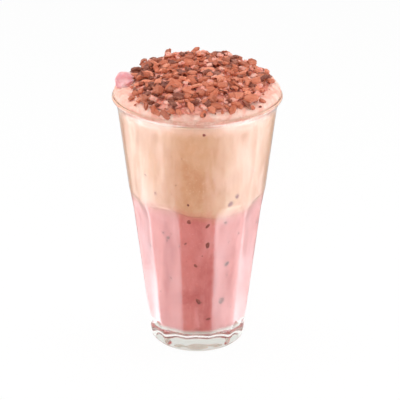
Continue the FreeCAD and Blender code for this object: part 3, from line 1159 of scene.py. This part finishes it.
@dataclass
class Pillow:
    """The pale cream that fills the mouth of the glass and swells over the lip."""

    glass: Tumbler
    start: float
    rise: float = 8.7
    fall: float = 4.3
    overhang: float = 1.1
    shoulder: float = 3.1
    lump: float = 0.4
    columns: int = 288

    def side(self) -> float:
        """Distance of the pillow's side from the axis, above the lip."""
        return self.glass.rim_radius - self.glass.rim_wall + self.overhang

    def height(self, reach: np.ndarray, lift: float = 0.0) -> np.ndarray:
        """Height above the foot of a skin that lies a lift off the pillow.

        A shallow crown, rise + sqrt(c^2 - r^2) - c, from which the round shoulder falls away near the side.

        Args:
            reach: Distance from the axis.
            lift: How far off the pillow the skin lies.

        Returns:
            The height.
        """
        side = self.side()
        crown = (side ** 2 + self.fall ** 2) / (2 * self.fall) + lift
        height = self.rise + lift - crown + np.sqrt(crown ** 2 - reach ** 2)
        bend = self.shoulder + lift
        over = np.clip(reach - (side - self.shoulder), 0.0, bend * 0.999)
        return self.glass.height + height - (bend - np.sqrt(bend ** 2 - over ** 2))

    def normal(self, reach: np.ndarray, angle: np.ndarray) -> np.ndarray:
        """Direction away from the pillow's skin, from the slope between two near distances.

        Args:
            reach: Distances from the axis.
            angle: Angles about it.

        Returns:
            The directions, each of length one.
        """
        near = np.minimum(reach, self.side() - 0.6)
        fall = (self.height(near + 0.2) - self.height(near - 0.2)) / 0.4
        normal = np.stack([-fall * np.cos(angle), -fall * np.sin(angle), np.ones_like(fall)], -1)
        return normal / np.linalg.norm(normal, axis=1, keepdims=True)

    def wall_rings(self, angle: np.ndarray) -> np.ndarray:
        """Rings up the inside of the glass, from the cream's wandering lower edge to the lip.

        Args:
            angle: The angle of each column.

        Returns:
            The rings.
        """
        edge = self.start + 0.9 * np.cos(4 * angle + 1.0)
        edge = edge + 0.6 * np.cos(9 * angle + 2.6) + 0.3 * np.cos(17 * angle)
        share = np.linspace(0.0, 1.0, 12)[:, None]
        climb = edge - 1.0 + (self.glass.lip_height + 0.3 - edge + 1.0) * share
        reach = self.glass.inner_reach(climb) + self.glass.into_wall
        wall = upright(np.broadcast_to(angle, climb.shape), reach, climb)
        wall[0] *= np.array([0.996, 0.996, 1.0])
        return wall

    def make(self, effects: Effects) -> bpy.types.Object:
        """Build the cream: up the wall, swelling over the lip, round the shoulder, then lumps over its crown.

        Args:
            effects: The shared effects.

        Returns:
            The piece.
        """
        angle = round_angles(self.columns)
        wall = self.wall_rings(angle)
        side = self.side()
        start = self.glass.height + self.rise - self.fall - self.shoulder
        swell = tangent_arc((wall[-1, 0, 0], wall[-1, 0, 2]), (0.76, 1.0), (side, start), 9)[1:]
        bend = np.radians(np.linspace(0.0, 90.0, 26))[1:]
        shoulder = np.stack([side - self.shoulder + self.shoulder * np.cos(bend),
                             start + self.shoulder * np.sin(bend)], -1)
        inward = np.linspace(side - self.shoulder, 1.0, 44)[1:]
        crown = np.stack([inward, self.height(inward)], -1)
        above = np.concatenate([swell, shoulder, crown])
        rings = np.concatenate([wall, upright(*turned(above, self.columns))])
        loose = np.clip((rings[..., 2] - self.glass.height) / 2.5, 0.0, 1.0)
        lumps = ripple(rings, 11.0, 3) + 0.5 * ripple(rings, 5.0, 4)
        outward = upright(np.broadcast_to(angle, loose.shape), 0.7 * loose, loose)
        rings += outward * (lumps * self.lump)[..., None]
        piece = new_piece("cream_pillow_top", closed_skins(np.concatenate([disc(wall[0], 6), rings])[None]))
        piece.data.materials.append(PINK_CREAM.build(effects))
        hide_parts("cream_pillow")
        return piece


@dataclass
class RoseDab:
    """A soft dab of rose cream with a small peak, leaning out at the side of the heap."""

    pillow: Pillow
    radius: float = 5.3
    height: float = 5.6
    sink: float = 3.2
    inset: float = 5.6
    bearing: float = 182.0
    drop: float = 1.9
    lean: float = 30.0
    lobes: int = 5

    def drop_rings(self) -> np.ndarray:
        """Rings of the drop about its own middle: a half ellipsoid below and a peak above, in twisted lobes.

        With s the share of the height, the width is sqrt(1 - s^2) below the middle and
        (1 - s)^0.62 (1 + 0.35 s) above it.

        Returns:
            The rings.
        """
        angle = round_angles(60)[None]
        share = np.linspace(-0.97, 0.985, 40)[:, None]
        level = np.where(share < 0, share * self.sink, self.height * share)
        width = np.where(share < 0, np.sqrt(1 - share ** 2), (1 - np.abs(share)) ** 0.62 * (1 + 0.35 * share))
        folds = 1.0 - 0.13 * (1 + np.cos(self.lobes * (angle + 1.5 * share))) / 2
        rings = upright(np.broadcast_to(angle, (40, 60)), self.radius * width * folds, level + 0.0 * angle)
        return rings + 0.3 * ripple(rings, 4.0, 31)[..., None] * np.array([1.0, 1.0, 0.5])

    def make(self, effects: Effects) -> bpy.types.Object:
        """Build the dab, which leans outward.

        Args:
            effects: The shared effects.

        Returns:
            The piece.
        """
        turn, lean = math.radians(self.bearing), math.radians(self.lean)
        out = np.array([math.cos(turn), math.sin(turn), 0.0])
        top = math.cos(lean) * UP + math.sin(lean) * out
        first = math.cos(lean) * out - math.sin(lean) * UP
        axes = np.stack([first, np.cross(top, first), top], -1)
        level = self.pillow.glass.height + self.pillow.rise - self.drop
        rings = self.drop_rings() @ axes.T + out * (self.pillow.side() - self.inset) + UP * level
        piece = new_piece("rose_cream_dab", closed_skins(rings[None]))
        piece.data.materials.append(ROSE_CREAM.build(effects))
        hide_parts("rose_dab")
        return piece


@dataclass(frozen=True)
class Chosen:
    """One piece of the heap whose place is chosen: where it lies, how large it is and how light."""

    x: float
    y: float
    length: float
    width: float
    tone: float
    lift: float = 0.0


# Where the larger flakes, bits of cream and crumbs lie; the flakes of tone near 0 are dark chocolate and
# partly painted shade, for deep shadows in the heap.
FLAKES = [
    Chosen(-11.5, -20.0, 13.0, 10.5, 0.58, 1.0), Chosen(-21.7, -16.5, 7.5, 5.0, 0.0, 0.5),
    Chosen(-7.6, -3.0, 8.5, 4.5, 0.03, 0.8), Chosen(-1.4, -35.0, 7.5, 5.0, 0.05, 0.6),
    Chosen(14.0, -16.0, 7.0, 5.0, 0.0, 0.6), Chosen(17.0, 11.0, 9.5, 5.0, 0.06, 0.9),
    Chosen(11.0, 31.5, 7.5, 4.5, 0.0, 1.2), Chosen(-5.0, 20.0, 8.0, 4.0, 0.3, 1.0),
    Chosen(1.5, 12.0, 6.5, 4.5, 0.3, 0.8), Chosen(-17.0, 8.0, 8.5, 5.0, 0.2, 0.8),
    Chosen(24.0, 17.0, 8.5, 5.0, 0.3, 1.0), Chosen(32.4, 0.0, 9.0, 6.0, 0.35, 0.7),
    Chosen(22.0, -26.0, 7.0, 4.5, 0.32, 0.5), Chosen(9.7, -37.5, 9.0, 5.5, 0.36, 0.5),
    Chosen(-26.6, -27.2, 8.0, 5.0, 0.3, 0.5), Chosen(-28.0, -6.0, 8.0, 4.5, 0.05, 0.5),
    Chosen(-24.0, 12.0, 8.0, 4.5, 0.25, 0.8), Chosen(-16.2, -40.4, 8.0, 4.6, 0.3, 0.1),
    Chosen(-5.5, -29.5, 8.5, 6.0, 0.45, 0.8), Chosen(27.5, -32.0, 5.0, 3.2, 0.5, 0.0),
    Chosen(3.0, -41.5, 5.5, 3.2, 0.62, 0.0), Chosen(-9.0, -41.0, 5.0, 3.0, 0.7, 0.0),
    Chosen(17.5, -37.6, 6.5, 3.8, 0.5, 0.1), Chosen(-21.5, -36.0, 5.5, 3.4, 0.45, 0.1),
    Chosen(32.5, -25.0, 5.0, 3.2, 0.4, 0.1), Chosen(-33.0, -22.5, 5.0, 3.2, 0.35, 0.1),
    Chosen(-12.6, -40.3, 5.4, 3.4, 0.45, 0.0), Chosen(-19.8, -37.8, 5.6, 3.4, 0.4, 0.1),
    Chosen(-25.5, -33.0, 5.2, 3.2, 0.3, 0.1),
]
BITS = [
    Chosen(-16.0, 21.6, 6.5, 5.0, 0.5, 0.7), Chosen(-26.6, 16.0, 6.5, 4.5, 0.5, 0.5),
    Chosen(0.0, 4.6, 8.0, 6.0, 0.5, 1.0), Chosen(1.5, -22.5, 9.0, 6.5, 0.5, 0.9),
    Chosen(26.0, -8.0, 7.0, 5.5, 0.5, 0.6), Chosen(17.5, -31.5, 8.0, 5.5, 0.5, 0.4),
    Chosen(6.0, 10.0, 6.0, 4.5, 0.5, 0.9), Chosen(23.0, 12.0, 6.0, 4.5, 0.5, 0.8),
    Chosen(-22.0, -28.5, 8.0, 6.0, 0.5, 0.4), Chosen(-9.5, -36.5, 7.0, 5.0, 0.5, 0.2),
    Chosen(3.5, -38.8, 6.5, 4.5, 0.5, 0.1), Chosen(30.0, -20.0, 6.0, 4.5, 0.5, 0.2),
    Chosen(-15.0, -34.0, 5.5, 4.5, 0.5, 0.3), Chosen(34.0, 8.0, 5.5, 4.0, 0.5, 0.3),
    Chosen(29.0, -1.5, 6.5, 5.0, 0.6, 0.9), Chosen(31.5, -12.0, 6.0, 4.5, 0.6, 0.7),
    Chosen(12.0, 25.0, 6.5, 4.5, 0.6, 1.3), Chosen(-5.0, 31.0, 6.0, 4.5, 0.6, 1.4),
    Chosen(9.0, -10.0, 6.5, 5.0, 0.6, 1.0), Chosen(25.0, 22.0, 6.0, 4.5, 0.6, 1.0),
    Chosen(3.0, 29.0, 7.0, 5.0, 0.7, 1.8), Chosen(16.5, 27.0, 6.5, 5.0, 0.7, 1.6),
    Chosen(-15.0, 27.5, 7.0, 5.0, 0.7, 1.6), Chosen(-8.0, 12.0, 6.5, 4.5, 0.7, 1.4),
]
CRUMBS = [
    Chosen(26.0, -33.6, 4.2, 3.2, 0.0, 0.9), Chosen(3.6, -42.2, 2.8, 2.0, 0.0, 0.0),
    Chosen(31.5, -28.8, 2.0, 1.5, 0.1, 0.1), Chosen(-31.0, -28.5, 2.2, 1.6, 0.3, 0.1),
]


@dataclass(frozen=True)
class Spread:
    """How loose pieces vary in size about their mean length, as shares of it, and in width, of the length."""

    sigma: float
    shortest: float
    longest: float
    narrowest: float
    widest: float


FLAKE_SPREAD = Spread(0.3, 0.45, 1.9, 0.45, 0.85)
PEBBLE_SPREAD = Spread(0.35, 0.5, 2.0, 0.6, 0.95)


@dataclass
class Heap:
    """Chopped and shaved chocolate heaped over the pillow, with bits of pink cream among it."""

    pillow: Pillow
    dab: RoseDab
    ceiling: float
    margin: float = 2.9
    stretch: float = 1.8
    waver: float = 0.6
    bare_right: float = 1.4
    bare_left: float = 4.2
    verge: float = 43.3
    bank: float = 2.2
    core_depth: float = 1.2
    steepest: float = 40.0
    chosen_lean: float = 0.45
    flake_bury: float = 0.55
    curl_bury: float = 0.5
    seed: int = 11

    def edge(self, angle: np.ndarray) -> np.ndarray:
        """How far the heap reaches.

        A wandering edge, which leaves cream bare at both sides and round the dab.

        Args:
            angle: Angles about the axis.

        Returns:
            The distance of the edge from the axis.
        """
        waver = self.waver * (0.6 * np.sin(3 * angle + 0.7) + 0.4 * np.sin(7 * angle + 2.1))
        reach = self.pillow.side() - self.margin - self.stretch * np.cos(2 * angle) + waver
        reach = reach - self.bare_right * np.maximum(np.cos(angle), 0.0) ** 3
        reach = reach - self.bare_left * np.maximum(-np.cos(angle), 0.0) ** 3
        to_dab = np.abs((angle - math.radians(self.dab.bearing) + math.pi) % TURN - math.pi)
        notch = np.clip(2.0 - to_dab / 0.17, 0.0, 1.0)
        clear = self.pillow.side() - self.dab.inset - self.dab.radius
        return reach - notch * np.maximum(reach - clear, 0.0)

    def surface(self, x: np.ndarray, y: np.ndarray) -> np.ndarray:
        """Height of the heap's core.

        With s the share of the way out to the edge, it is the pillow's skin, a crust that thins as 1 - s^5,
        and lumps and a bank behind that thin as 1 - s^8.

        Args:
            x: Places, left to right.
            y: The same, front to back.

        Returns:
            The height.
        """
        reach, angle = np.hypot(x, y), np.arctan2(y, x)
        share = np.minimum(reach / self.edge(angle), 1.0)
        flat = np.stack([x, y, 0.0 * x], -1)
        lumps = 0.55 * ripple(flat, 7.0, 21) + 0.35 * ripple(flat, 3.6, 22)
        lumps = lumps + self.bank * np.exp(-((x - 2.0) / 26.0) ** 2 - ((y - 27.0) / 11.0) ** 2)
        crust = self.core_depth * (1.0 - share ** 5)
        return self.pillow.height(reach, 0.2) + crust + lumps * (1.0 - share ** 8)

    def make_core(self, effects: Effects) -> bpy.types.Object:
        """Build the core: rings out just under the pillow's skin to the edge, then back in over the top.

        Args:
            effects: The shared effects.

        Returns:
            The piece.
        """
        angle = round_angles(240)
        edge = self.edge(angle)
        under = np.linspace(0.05, 0.985, 16)[:, None] * edge
        low = upright(np.broadcast_to(angle, under.shape), under, self.pillow.height(under) - 0.8)
        over = (np.linspace(1.0, 0.02, 90)[:, None] ** 0.85) * edge
        x, y = over * np.cos(angle), over * np.sin(angle)
        high = np.stack([x, y, self.surface(x, y)], -1)
        piece = new_piece("heap_core", closed_skins(np.concatenate([low, high])[None]))
        piece.data.materials.append(HEAP_CREAM.build(effects))
        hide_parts("chocolate_heap")
        return piece

    def scatter(self, rng: np.random.Generator, count: int, outmost: float) -> tuple[np.ndarray, np.ndarray]:
        """Places spread evenly over the heap: a sunflower's spiral, each place shaken a little.

        Args:
            rng: The random numbers.
            count: How many places.
            outmost: Share of the heap's reach that they are spread over.

        Returns:
            The places left to right, and front to back.
        """
        number = np.arange(count) + 0.5
        angle = number * math.pi * (3.0 - math.sqrt(5.0)) + rng.uniform(-0.08, 0.08, count)
        reach = np.sqrt(number / count) * outmost * self.edge(angle)
        shake = rng.normal(0.0, 0.35 * self.pillow.side() / math.sqrt(count), (2, count))
        return reach * np.cos(angle) + shake[0], reach * np.sin(angle) + shake[1]

    def strewn(self, rng: np.random.Generator, count: int, size: float, outmost: float, spread: Spread,
               chosen: list[Chosen]) -> np.ndarray:
        """Places and sizes of loose pieces: first those at random, then the chosen ones.

        Args:
            rng: The random numbers.
            count: How many lie at random.
            size: Their mean length.
            outmost: Share of the heap's reach that they are spread over.
            spread: How their sizes vary.
            chosen: The chosen pieces.

        Returns:
            Four rows: x, y, length and width.
        """
        x, y = self.scatter(rng, count, outmost)
        long = np.clip(rng.lognormal(math.log(size), spread.sigma, count),
                       spread.shortest * size, spread.longest * size)
        wide = long * rng.uniform(spread.narrowest, spread.widest, count)
        picked = np.array([(c.x, c.y, c.length, c.width) for c in chosen]).reshape(-1, 4)
        return np.concatenate([np.stack([x, y, long, wide]), picked.T], axis=1)

    def facing(self, rng: np.random.Generator, x: np.ndarray, y: np.ndarray,
               tilt: np.ndarray | float) -> np.ndarray:
        """Axes of loose pieces that lie on the pillow's skin, turned at random and leaning out of it.

        Args:
            rng: The random numbers.
            x: Places, left to right.
            y: The same, front to back.
            tilt: How far each leans, in radians; a single number is the most, and each draws its own.

        Returns:
            The axes, pieces x 3 x 3.
        """
        reach, angle = np.hypot(x, y), np.arctan2(y, x)
        turn = rng.uniform(0, TURN, len(x))
        tilt = rng.uniform(0.0, tilt, len(x)) if np.isscalar(tilt) else tilt
        return leaning_axes(self.pillow.normal(reach, angle), turn, tilt, rng.uniform(0, TURN, len(x)))

    def settle(self, local: np.ndarray, x: np.ndarray, y: np.ndarray, axes: np.ndarray, lift: np.ndarray,
               bury: float) -> np.ndarray:
        """Set loose pieces down on the core.

        Each piece comes down until its lowest point is as far under the core's skin as bury says, then goes
        up by its lift, and comes down again if it would stand over the ceiling.

        Args:
            local: Rings of the pieces about their own middles, pieces x rings x points x 3.
            x: Places of the middles.
            y: The same, front to back.
            axes: Their axes, pieces x 3 x 3.
            lift: How far each stands higher, on other pieces.
            bury: How far the lowest point goes under the skin.

        Returns:
            The rings in place.
        """
        rings = np.einsum("nij,nrcj->nrci", axes, local)
        rings[..., 0] += x[:, None, None]
        rings[..., 1] += y[:, None, None]
        over = rings[..., 2] - self.surface(rings[..., 0], rings[..., 1])
        rings[..., 2] += (lift - bury - over.min((1, 2)))[:, None, None]
        rings[..., 2] -= np.maximum(rings[..., 2].max((1, 2)) - self.ceiling, 0.0)[:, None, None]
        rings[..., :2] *= np.minimum(1.0, self.verge / np.hypot(rings[..., 0], rings[..., 1]))[..., None]
        return rings

    def plates(self, rng: np.random.Generator, long: np.ndarray, wide: np.ndarray,
               thick: np.ndarray) -> np.ndarray:
        """Rings of broken plates about their own middles.

        Each has seven uneven corners and bevelled rims, and is bent along by z = b x^2.

        Args:
            rng: The random numbers.
            long: Their lengths.
            wide: Their widths.
            thick: Their thicknesses.

        Returns:
            The rings, plates x 4 x 7 x 3.
        """
        total = len(long)
        corner = (np.arange(7) + rng.uniform(-0.32, 0.32, (total, 7))) * TURN / 7
        out = rng.uniform(0.68, 1.0, (total, 7))
        flat = np.stack([out * np.cos(corner), out * np.sin(corner)], -1)
        inset = np.array([0.78, 1.0, 1.0, 0.78])[:, None, None]
        level = np.array([-0.5, -0.24, 0.24, 0.5])[:, None]
        local = np.zeros((total, 4, 7, 3))
        local[..., :2] = flat[:, None] * inset * np.stack([long, wide], -1)[:, None, None] / 2
        local[..., :2] += rng.normal(0.0, 0.14, (total, 4, 7, 2))
        local[..., 2] = level * thick[:, None, None]
        bend = rng.normal(0.0, 0.035, total)[:, None, None]
        local[..., 2] += bend * local[..., 0] ** 2
        return local

    def make_flakes(self, name: str, count: int, length: float, thickness: float, lean: float, lift: float,
                    chosen: list[Chosen], seed: int, finish: bpy.types.Material) -> bpy.types.Object:
        """Build broken flakes of chocolate, the darker ones mostly at the left; the darkest are partly
        painted shade, for the deep shadows between pieces.

        Args:
            name: Name of the piece.
            count: How many lie at random.
            length: Mean length.
            thickness: Mean thickness.
            lean: Mean angle by which they lean out of the heap's skin, in degrees.
            lift: How far the highest stand on others.
            chosen: Flakes whose place is chosen.
            seed: Seed of everything random here.
            finish: Their material.

        Returns:
            The piece.
        """
        rng = np.random.default_rng(seed)
        x, y, long, wide = self.strewn(rng, count, length, 1.01, FLAKE_SPREAD, chosen)
        total = len(x)
        thick = thickness * rng.uniform(0.6, 1.5, total)
        # Painted shade in part: about a fifth of the flakes, more of them at the left, are made nearly the
        # darkest brown, standing for dark chocolate and for the deep shadows between pieces.
        dark = rng.random(count) < 0.19 - 0.0035 * x[:count]
        tone = np.where(dark, 0.08, 1.0) * np.clip(rng.beta(1.6, 1.5, count), 0.0, 1.0)
        up = np.append(rng.uniform(0.0, lift, count), [c.lift for c in chosen])
        local = self.plates(rng, long, wide, thick)
        tilt = np.minimum(np.abs(rng.normal(0.0, math.radians(lean), total)), math.radians(self.steepest))
        tilt[count:] *= self.chosen_lean
        rings = self.settle(local, x, y, self.facing(rng, x, y, tilt), up, self.flake_bury)
        piece = new_piece(name, closed_skins(rings), smooth=False)
        paint(piece, "tone", np.repeat(np.append(tone, [c.tone for c in chosen]), 4 * 7 + 2))
        piece.data.materials.append(finish)
        return piece

    def make_curls(self, count: int, seed: int, finish: bpy.types.Material) -> bpy.types.Object:
        """Build shavings: thin strips rolled up, (r cos a, w, r sin a) with r growing slowly with a.

        Args:
            count: How many there are.
            seed: Seed of everything random here.
            finish: Their material.

        Returns:
            The piece.
        """
        rng = np.random.default_rng(seed)
        x, y = self.scatter(rng, count, 0.93)
        radius = rng.uniform(1.0, 2.3, count)[:, None, None]
        sweep = rng.uniform(1.6, 4.6, count)[:, None, None]
        width = rng.uniform(2.6, 6.0, count)[:, None, None]
        share = np.linspace(0.0, 1.0, 13)[None, :, None]
        across = np.array([-1.0, -0.35, 0.35, 1.0, 1.0, 0.35, -0.35, -1.0])[None, None] / 2
        side = np.array([1.0, 1.0, 1.0, 1.0, -1.0, -1.0, -1.0, -1.0])[None, None]
        thick = rng.uniform(0.35, 0.7, count)[:, None, None]
        thick = thick * np.sin(np.clip(share, 0.06, 0.94) * math.pi) ** 0.5
        grown = radius * (1.0 + 0.3 * share) + side * thick / 2
        ragged = 1.0 + 0.16 * rng.normal(size=(count, 13, 1))
        a = sweep * share
        local = np.stack([grown * np.cos(a) - radius, width * across * ragged, grown * np.sin(a)], -1)
        local -= local.mean((1, 2), keepdims=True)
        axes = self.facing(rng, x, y, 0.9)
        rings = self.settle(local[:, ::-1], x, y, axes, rng.uniform(0.2, 1.3, count), self.curl_bury)
        piece = new_piece("chocolate_curls", closed_skins(rings))
        paint(piece, "tone", np.repeat(np.clip(rng.normal(0.5, 0.25, count), 0.0, 1.0), 13 * 8 + 2))
        piece.data.materials.append(finish)
        return piece

    def make_pebbles(self, name: str, count: int, size: float, outmost: float, uneven: float, bury: float,
                     chosen: list[Chosen], seed: int, finish: bpy.types.Material,
                     smooth: bool) -> bpy.types.Object:
        """Build crumbs or bits of cream: uneven pebbles, lying anyhow.

        Args:
            name: Name of the piece.
            count: How many lie at random.
            size: Mean size across.
            outmost: Share of the heap's reach that they are spread over.
            uneven: How uneven they are.
            bury: How far they sink in, as a share of their size.
            chosen: Pebbles whose place is chosen.
            seed: Seed of everything random here.
            finish: Their material.
            smooth: Whether they are shaded smooth.

        Returns:
            The piece.
        """
        rng = np.random.default_rng(seed)
        x, y, long, wide = self.strewn(rng, count, size, outmost, PEBBLE_SPREAD, chosen)
        rows, columns = (6, 10) if smooth else (3, 6)
        local = pebble_rings(rng, len(x), rows, columns, uneven)
        local *= np.stack([long, wide, 0.72 * wide], -1)[:, None, None] / 2
        axes = self.facing(rng, x, y, 0.5)
        up = np.append(rng.uniform(0.0, 1.0, count), [c.lift for c in chosen])
        rings = self.settle(local, x, y, axes, up - bury * wide, 0.0)
        piece = new_piece(name, closed_skins(rings), smooth)
        tone = np.append(np.clip(rng.beta(1.4, 1.8, count), 0, 1), [c.tone for c in chosen])
        paint(piece, "tone", np.repeat(tone, rows * columns + 2))
        piece.data.materials.append(finish)
        return piece

    def make(self, effects: Effects) -> list[bpy.types.Object]:
        """Build the core and all that lies on it.

        Args:
            effects: The shared effects.

        Returns:
            The pieces.
        """
        chocolate, cream = CHOCOLATE.build(effects), BIT_CREAM.build(effects)
        return [
            self.make_core(effects),
            self.make_flakes("chocolate_flakes_low", 190, 5.2, 1.4, 16.0, 0.4, [], self.seed, chocolate),
            self.make_flakes("chocolate_flakes_high", 120, 6.2, 1.5, 26.0, 1.3, FLAKES, self.seed + 1,
                             chocolate),
            self.make_curls(46, self.seed + 2, chocolate),
            self.make_pebbles("chocolate_crumbs", 420, 1.8, 1.05, 0.45, 0.2, CRUMBS, self.seed + 3,
                              chocolate, False),
            self.make_pebbles("cream_bits", 115, 3.8, 0.98, 0.5, 0.27, BITS, self.seed + 4,
                              cream, True),
        ]


# ---------------------------------------------------------------- the studio


class Hand(Enum):
    """Which side of the object a lamp stands on."""

    LEFT = -1.0
    RIGHT = 1.0


@dataclass
class Studio:
    """A pale table in a white room, soft lamps at both sides, in front and above, and the camera.

    Lengths are in metres and angles in degrees; the gloss sheet's angles run from the front to the back.
    """

    distance: float = 1.2
    elevation: float = 22.6
    focal: float = 207.0
    aim_side: float = 0.0014
    aim_height: float = 0.0777
    side_power: float = 1.5
    front_power: float = 2.5
    top_power: float = 1.9
    ambient: float = 0.62
    table_half: float = 3.0
    table_glow: float = 0.95
    gloss_reach: tuple[float, float] = (0.038, 0.8)
    gloss_level: float = 0.0004
    gloss_rise: tuple[float, float] = (15.0, 61.0)
    gloss_fall: tuple[float, float] = (84.0, 146.0)
    gloss_front: float = 0.3
    gloss_side: float = 5.4
    gloss_back: float = 0.1
    gloss_lead: float = 0.06

    def make_table(self) -> bpy.types.Object:
        """Lay the table: pale, nearly white where it is looked at, with the object's soft shadow on it.

        Returns:
            The table.
        """
        mesh = bpy.data.meshes.new("table")
        half = self.table_half
        mesh.from_pydata([(-half, -half, 0), (half, -half, 0), (half, half, 0), (-half, half, 0)], [],
                         [(0, 1, 2, 3)])
        table = put_in("table", mesh)
        material, nodes = new_material("table_finish")
        paper = nodes.add("ShaderNodeBsdfDiffuse")
        nodes.feed(paper.inputs["Color"], solid((0.95, 0.95, 0.945)))
        glow = nodes.add("ShaderNodeEmission")
        seen = nodes.add("ShaderNodeLightPath")
        share = nodes.reckon("MAXIMUM", seen.outputs["Is Camera Ray"], seen.outputs["Is Glossy Ray"])
        share = nodes.reckon("MAXIMUM", share, seen.outputs["Is Transmission Ray"])
        nodes.put_out(nodes.either(nodes.reckon("MULTIPLY", share, self.table_glow), paper, glow))
        mesh.materials.append(material)
        return table

    def gloss_finish(self) -> bpy.types.Material:
        """Make the gloss sheet's light.

        It is bright at both sides, dims towards the back, and is dark in front, from the angle a between the
        front and the place on the sheet: a = atan2(|x|, -y).  On the right it starts nearer to the front.
        Soft patches break it up.

        Returns:
            The material.
        """
        material, nodes = new_material("gloss_sheet_finish")
        x, y, _ = nodes.parts(nodes.place())
        bearing = nodes.reckon("ARCTAN2", nodes.reckon("ABSOLUTE", x), nodes.reckon("MULTIPLY", y, -1.0))
        nearer = nodes.reckon("ADD", bearing, nodes.spread(x, -0.02, 0.02, 0.0, self.gloss_lead))
        first, last = np.radians(self.gloss_rise).tolist()
        rising = nodes.spread(nearer, first, last, self.gloss_front, self.gloss_side)
        first, last = np.radians(self.gloss_fall).tolist()
        falling = nodes.spread(bearing, first, last, 1.0, self.gloss_back)
        patches = nodes.spread(nodes.noise(nodes.place(), 14.0, 2.0), 0.35, 0.65, 0.75, 1.2)
        glow = nodes.add("ShaderNodeEmission")
        glow.inputs["Color"].default_value = solid((0.94, 0.98, 1.0))
        level = nodes.reckon("MULTIPLY", nodes.reckon("MULTIPLY", rising, falling), patches)
        nodes.feed(glow.inputs["Strength"], level)
        nodes.put_out(glow)
        return material

    def make_gloss_sheet(self) -> bpy.types.Object:
        """Lay a flat ring of light round the glass that shows only as gloss on it.

        Returns:
            The sheet.
        """
        angle = round_angles(96)
        reach = np.array(self.gloss_reach)[:, None] + 0.0 * angle
        rings = upright(np.broadcast_to(angle, reach.shape), reach, np.full(reach.shape, self.gloss_level))
        here = np.arange(96)
        after = np.roll(here, -1)
        mesh = bpy.data.meshes.new("gloss_sheet")
        mesh.from_pydata(rings.reshape(-1, 3).tolist(), [],
                         np.stack([here, here + 96, after + 96, after], -1).tolist())
        sheet = put_in("gloss_sheet", mesh)
        mesh.materials.append(self.gloss_finish())
        sheet.visible_camera = sheet.visible_diffuse = sheet.visible_transmission = False
        sheet.visible_shadow = sheet.visible_volume_scatter = False
        return sheet

    def make_lamp(self, name: str, place: Point, toward: Point, size: tuple[float, float],
                  power: float) -> None:
        """Hang a rectangular lamp that faces a point and isn't itself seen by the camera.

        Args:
            name: Name of the lamp.
            place: Where it hangs.
            toward: The point that it faces.
            size: Its width and height.
            power: Its power in watts.
        """
        lamp = bpy.data.lights.new(name, "AREA")
        lamp.shape = "RECTANGLE"
        lamp.size, lamp.size_y = size
        lamp.energy = power
        holder = put_in(name, lamp)
        holder.location = place
        aim = Vector(toward) - Vector(place)
        holder.rotation_euler = aim.to_track_quat("-Z", "Y").to_euler()
        holder.visible_camera = False

    def make_lamps(self) -> None:
        """Hang the lamps at the sides, in front and above."""
        middle = (0.0, 0.0, 0.08)
        for hand in Hand:
            self.make_lamp("lamp_" + hand.name.lower(), (hand.value * 0.52, 0.05, 0.26), middle,
                           (0.5, 0.5), self.side_power)
        self.make_lamp("lamp_front", (0.0, -0.6, 0.5), middle, (0.7, 0.4), self.front_power)
        self.make_lamp("lamp_above", (0.0, 0.12, 0.75), (0.0, 0.0, 0.13), (0.5, 0.5), self.top_power)

    def make_room(self) -> None:
        """Light the room: white where it is seen, soft ambient light elsewhere, dimmer from the front."""
        world = bpy.data.worlds.new("room")
        bpy.context.scene.world = world
        world.use_nodes = True
        nodes = Nodes(world.node_tree)
        seen = nodes.add("ShaderNodeLightPath")
        heading = nodes.parts(nodes.add("ShaderNodeTexCoord").outputs["Generated"])
        front = nodes.spread(heading[1], -0.75, -0.2, 0.35, 1.0)
        through = nodes.reckon("MAXIMUM", seen.outputs["Is Glossy Ray"], seen.outputs["Is Transmission Ray"])
        level = nodes.number(through, nodes.reckon("MULTIPLY", front, self.ambient), front)
        sky = nodes.add("ShaderNodeBackground")
        nodes.feed(sky.inputs["Strength"], nodes.number(seen.outputs["Is Camera Ray"], level, 1.0))
        nodes.put_out(sky, "ShaderNodeOutputWorld")

    def make_camera(self) -> None:
        """Set the camera: a long lens in front, looking down by the elevation."""
        lens = bpy.data.cameras.new("camera")
        lens.lens = self.focal
        lens.sensor_width = 36.0
        camera = put_in("camera", lens)
        e = math.radians(self.elevation)
        camera.location = (self.aim_side, -self.distance * math.cos(e),
                           self.aim_height + self.distance * math.sin(e))
        camera.rotation_euler = (math.pi / 2 - e, 0.0, 0.0)
        bpy.context.scene.camera = camera

    def make(self) -> None:
        """Build the whole studio."""
        self.make_table()
        self.make_gloss_sheet()
        self.make_lamps()
        self.make_room()
        self.make_camera()
        bpy.context.scene.view_settings.view_transform = "Standard"


def write_sizes() -> None:
    """Update the view layer."""
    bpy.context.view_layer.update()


def main() -> None:
    """Build the glass, what fills it, what stands above its lip, then the studio."""
    logging.basicConfig(level=logging.INFO, format="%(name)s: %(message)s")
    effects = Effects(make_curdle(), make_bubbles())
    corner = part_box("tumbler")[1]
    glass = Tumbler(height=corner.z / MM, rim_radius=corner.x / MM)
    glass.make(CLEAR)
    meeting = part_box("strawberry_shake")[1].z / MM
    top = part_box("cream_shake")[1].z / MM
    Shakes(glass, meeting, top).make(effects)
    dark = SPECKS.build(effects)
    Specks(glass, "strawberry_drink", 16.0, 80.0, 90, 0.9, 0.3, LOWER_SPECKS, 41).make(dark)
    Specks(glass, "cream_drink", 86.0, 130.0, 34, 0.8, 0.55, UPPER_SPECKS, 42).make(dark)
    pillow = Pillow(glass, top)
    pillow.make(effects)
    dab = RoseDab(pillow)
    dab.make(effects)
    Heap(pillow, dab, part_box("chocolate_heap")[1].z / MM - 0.1).make(effects)
    Studio().make()
    write_sizes()


if __name__ == "__main__":
    main()
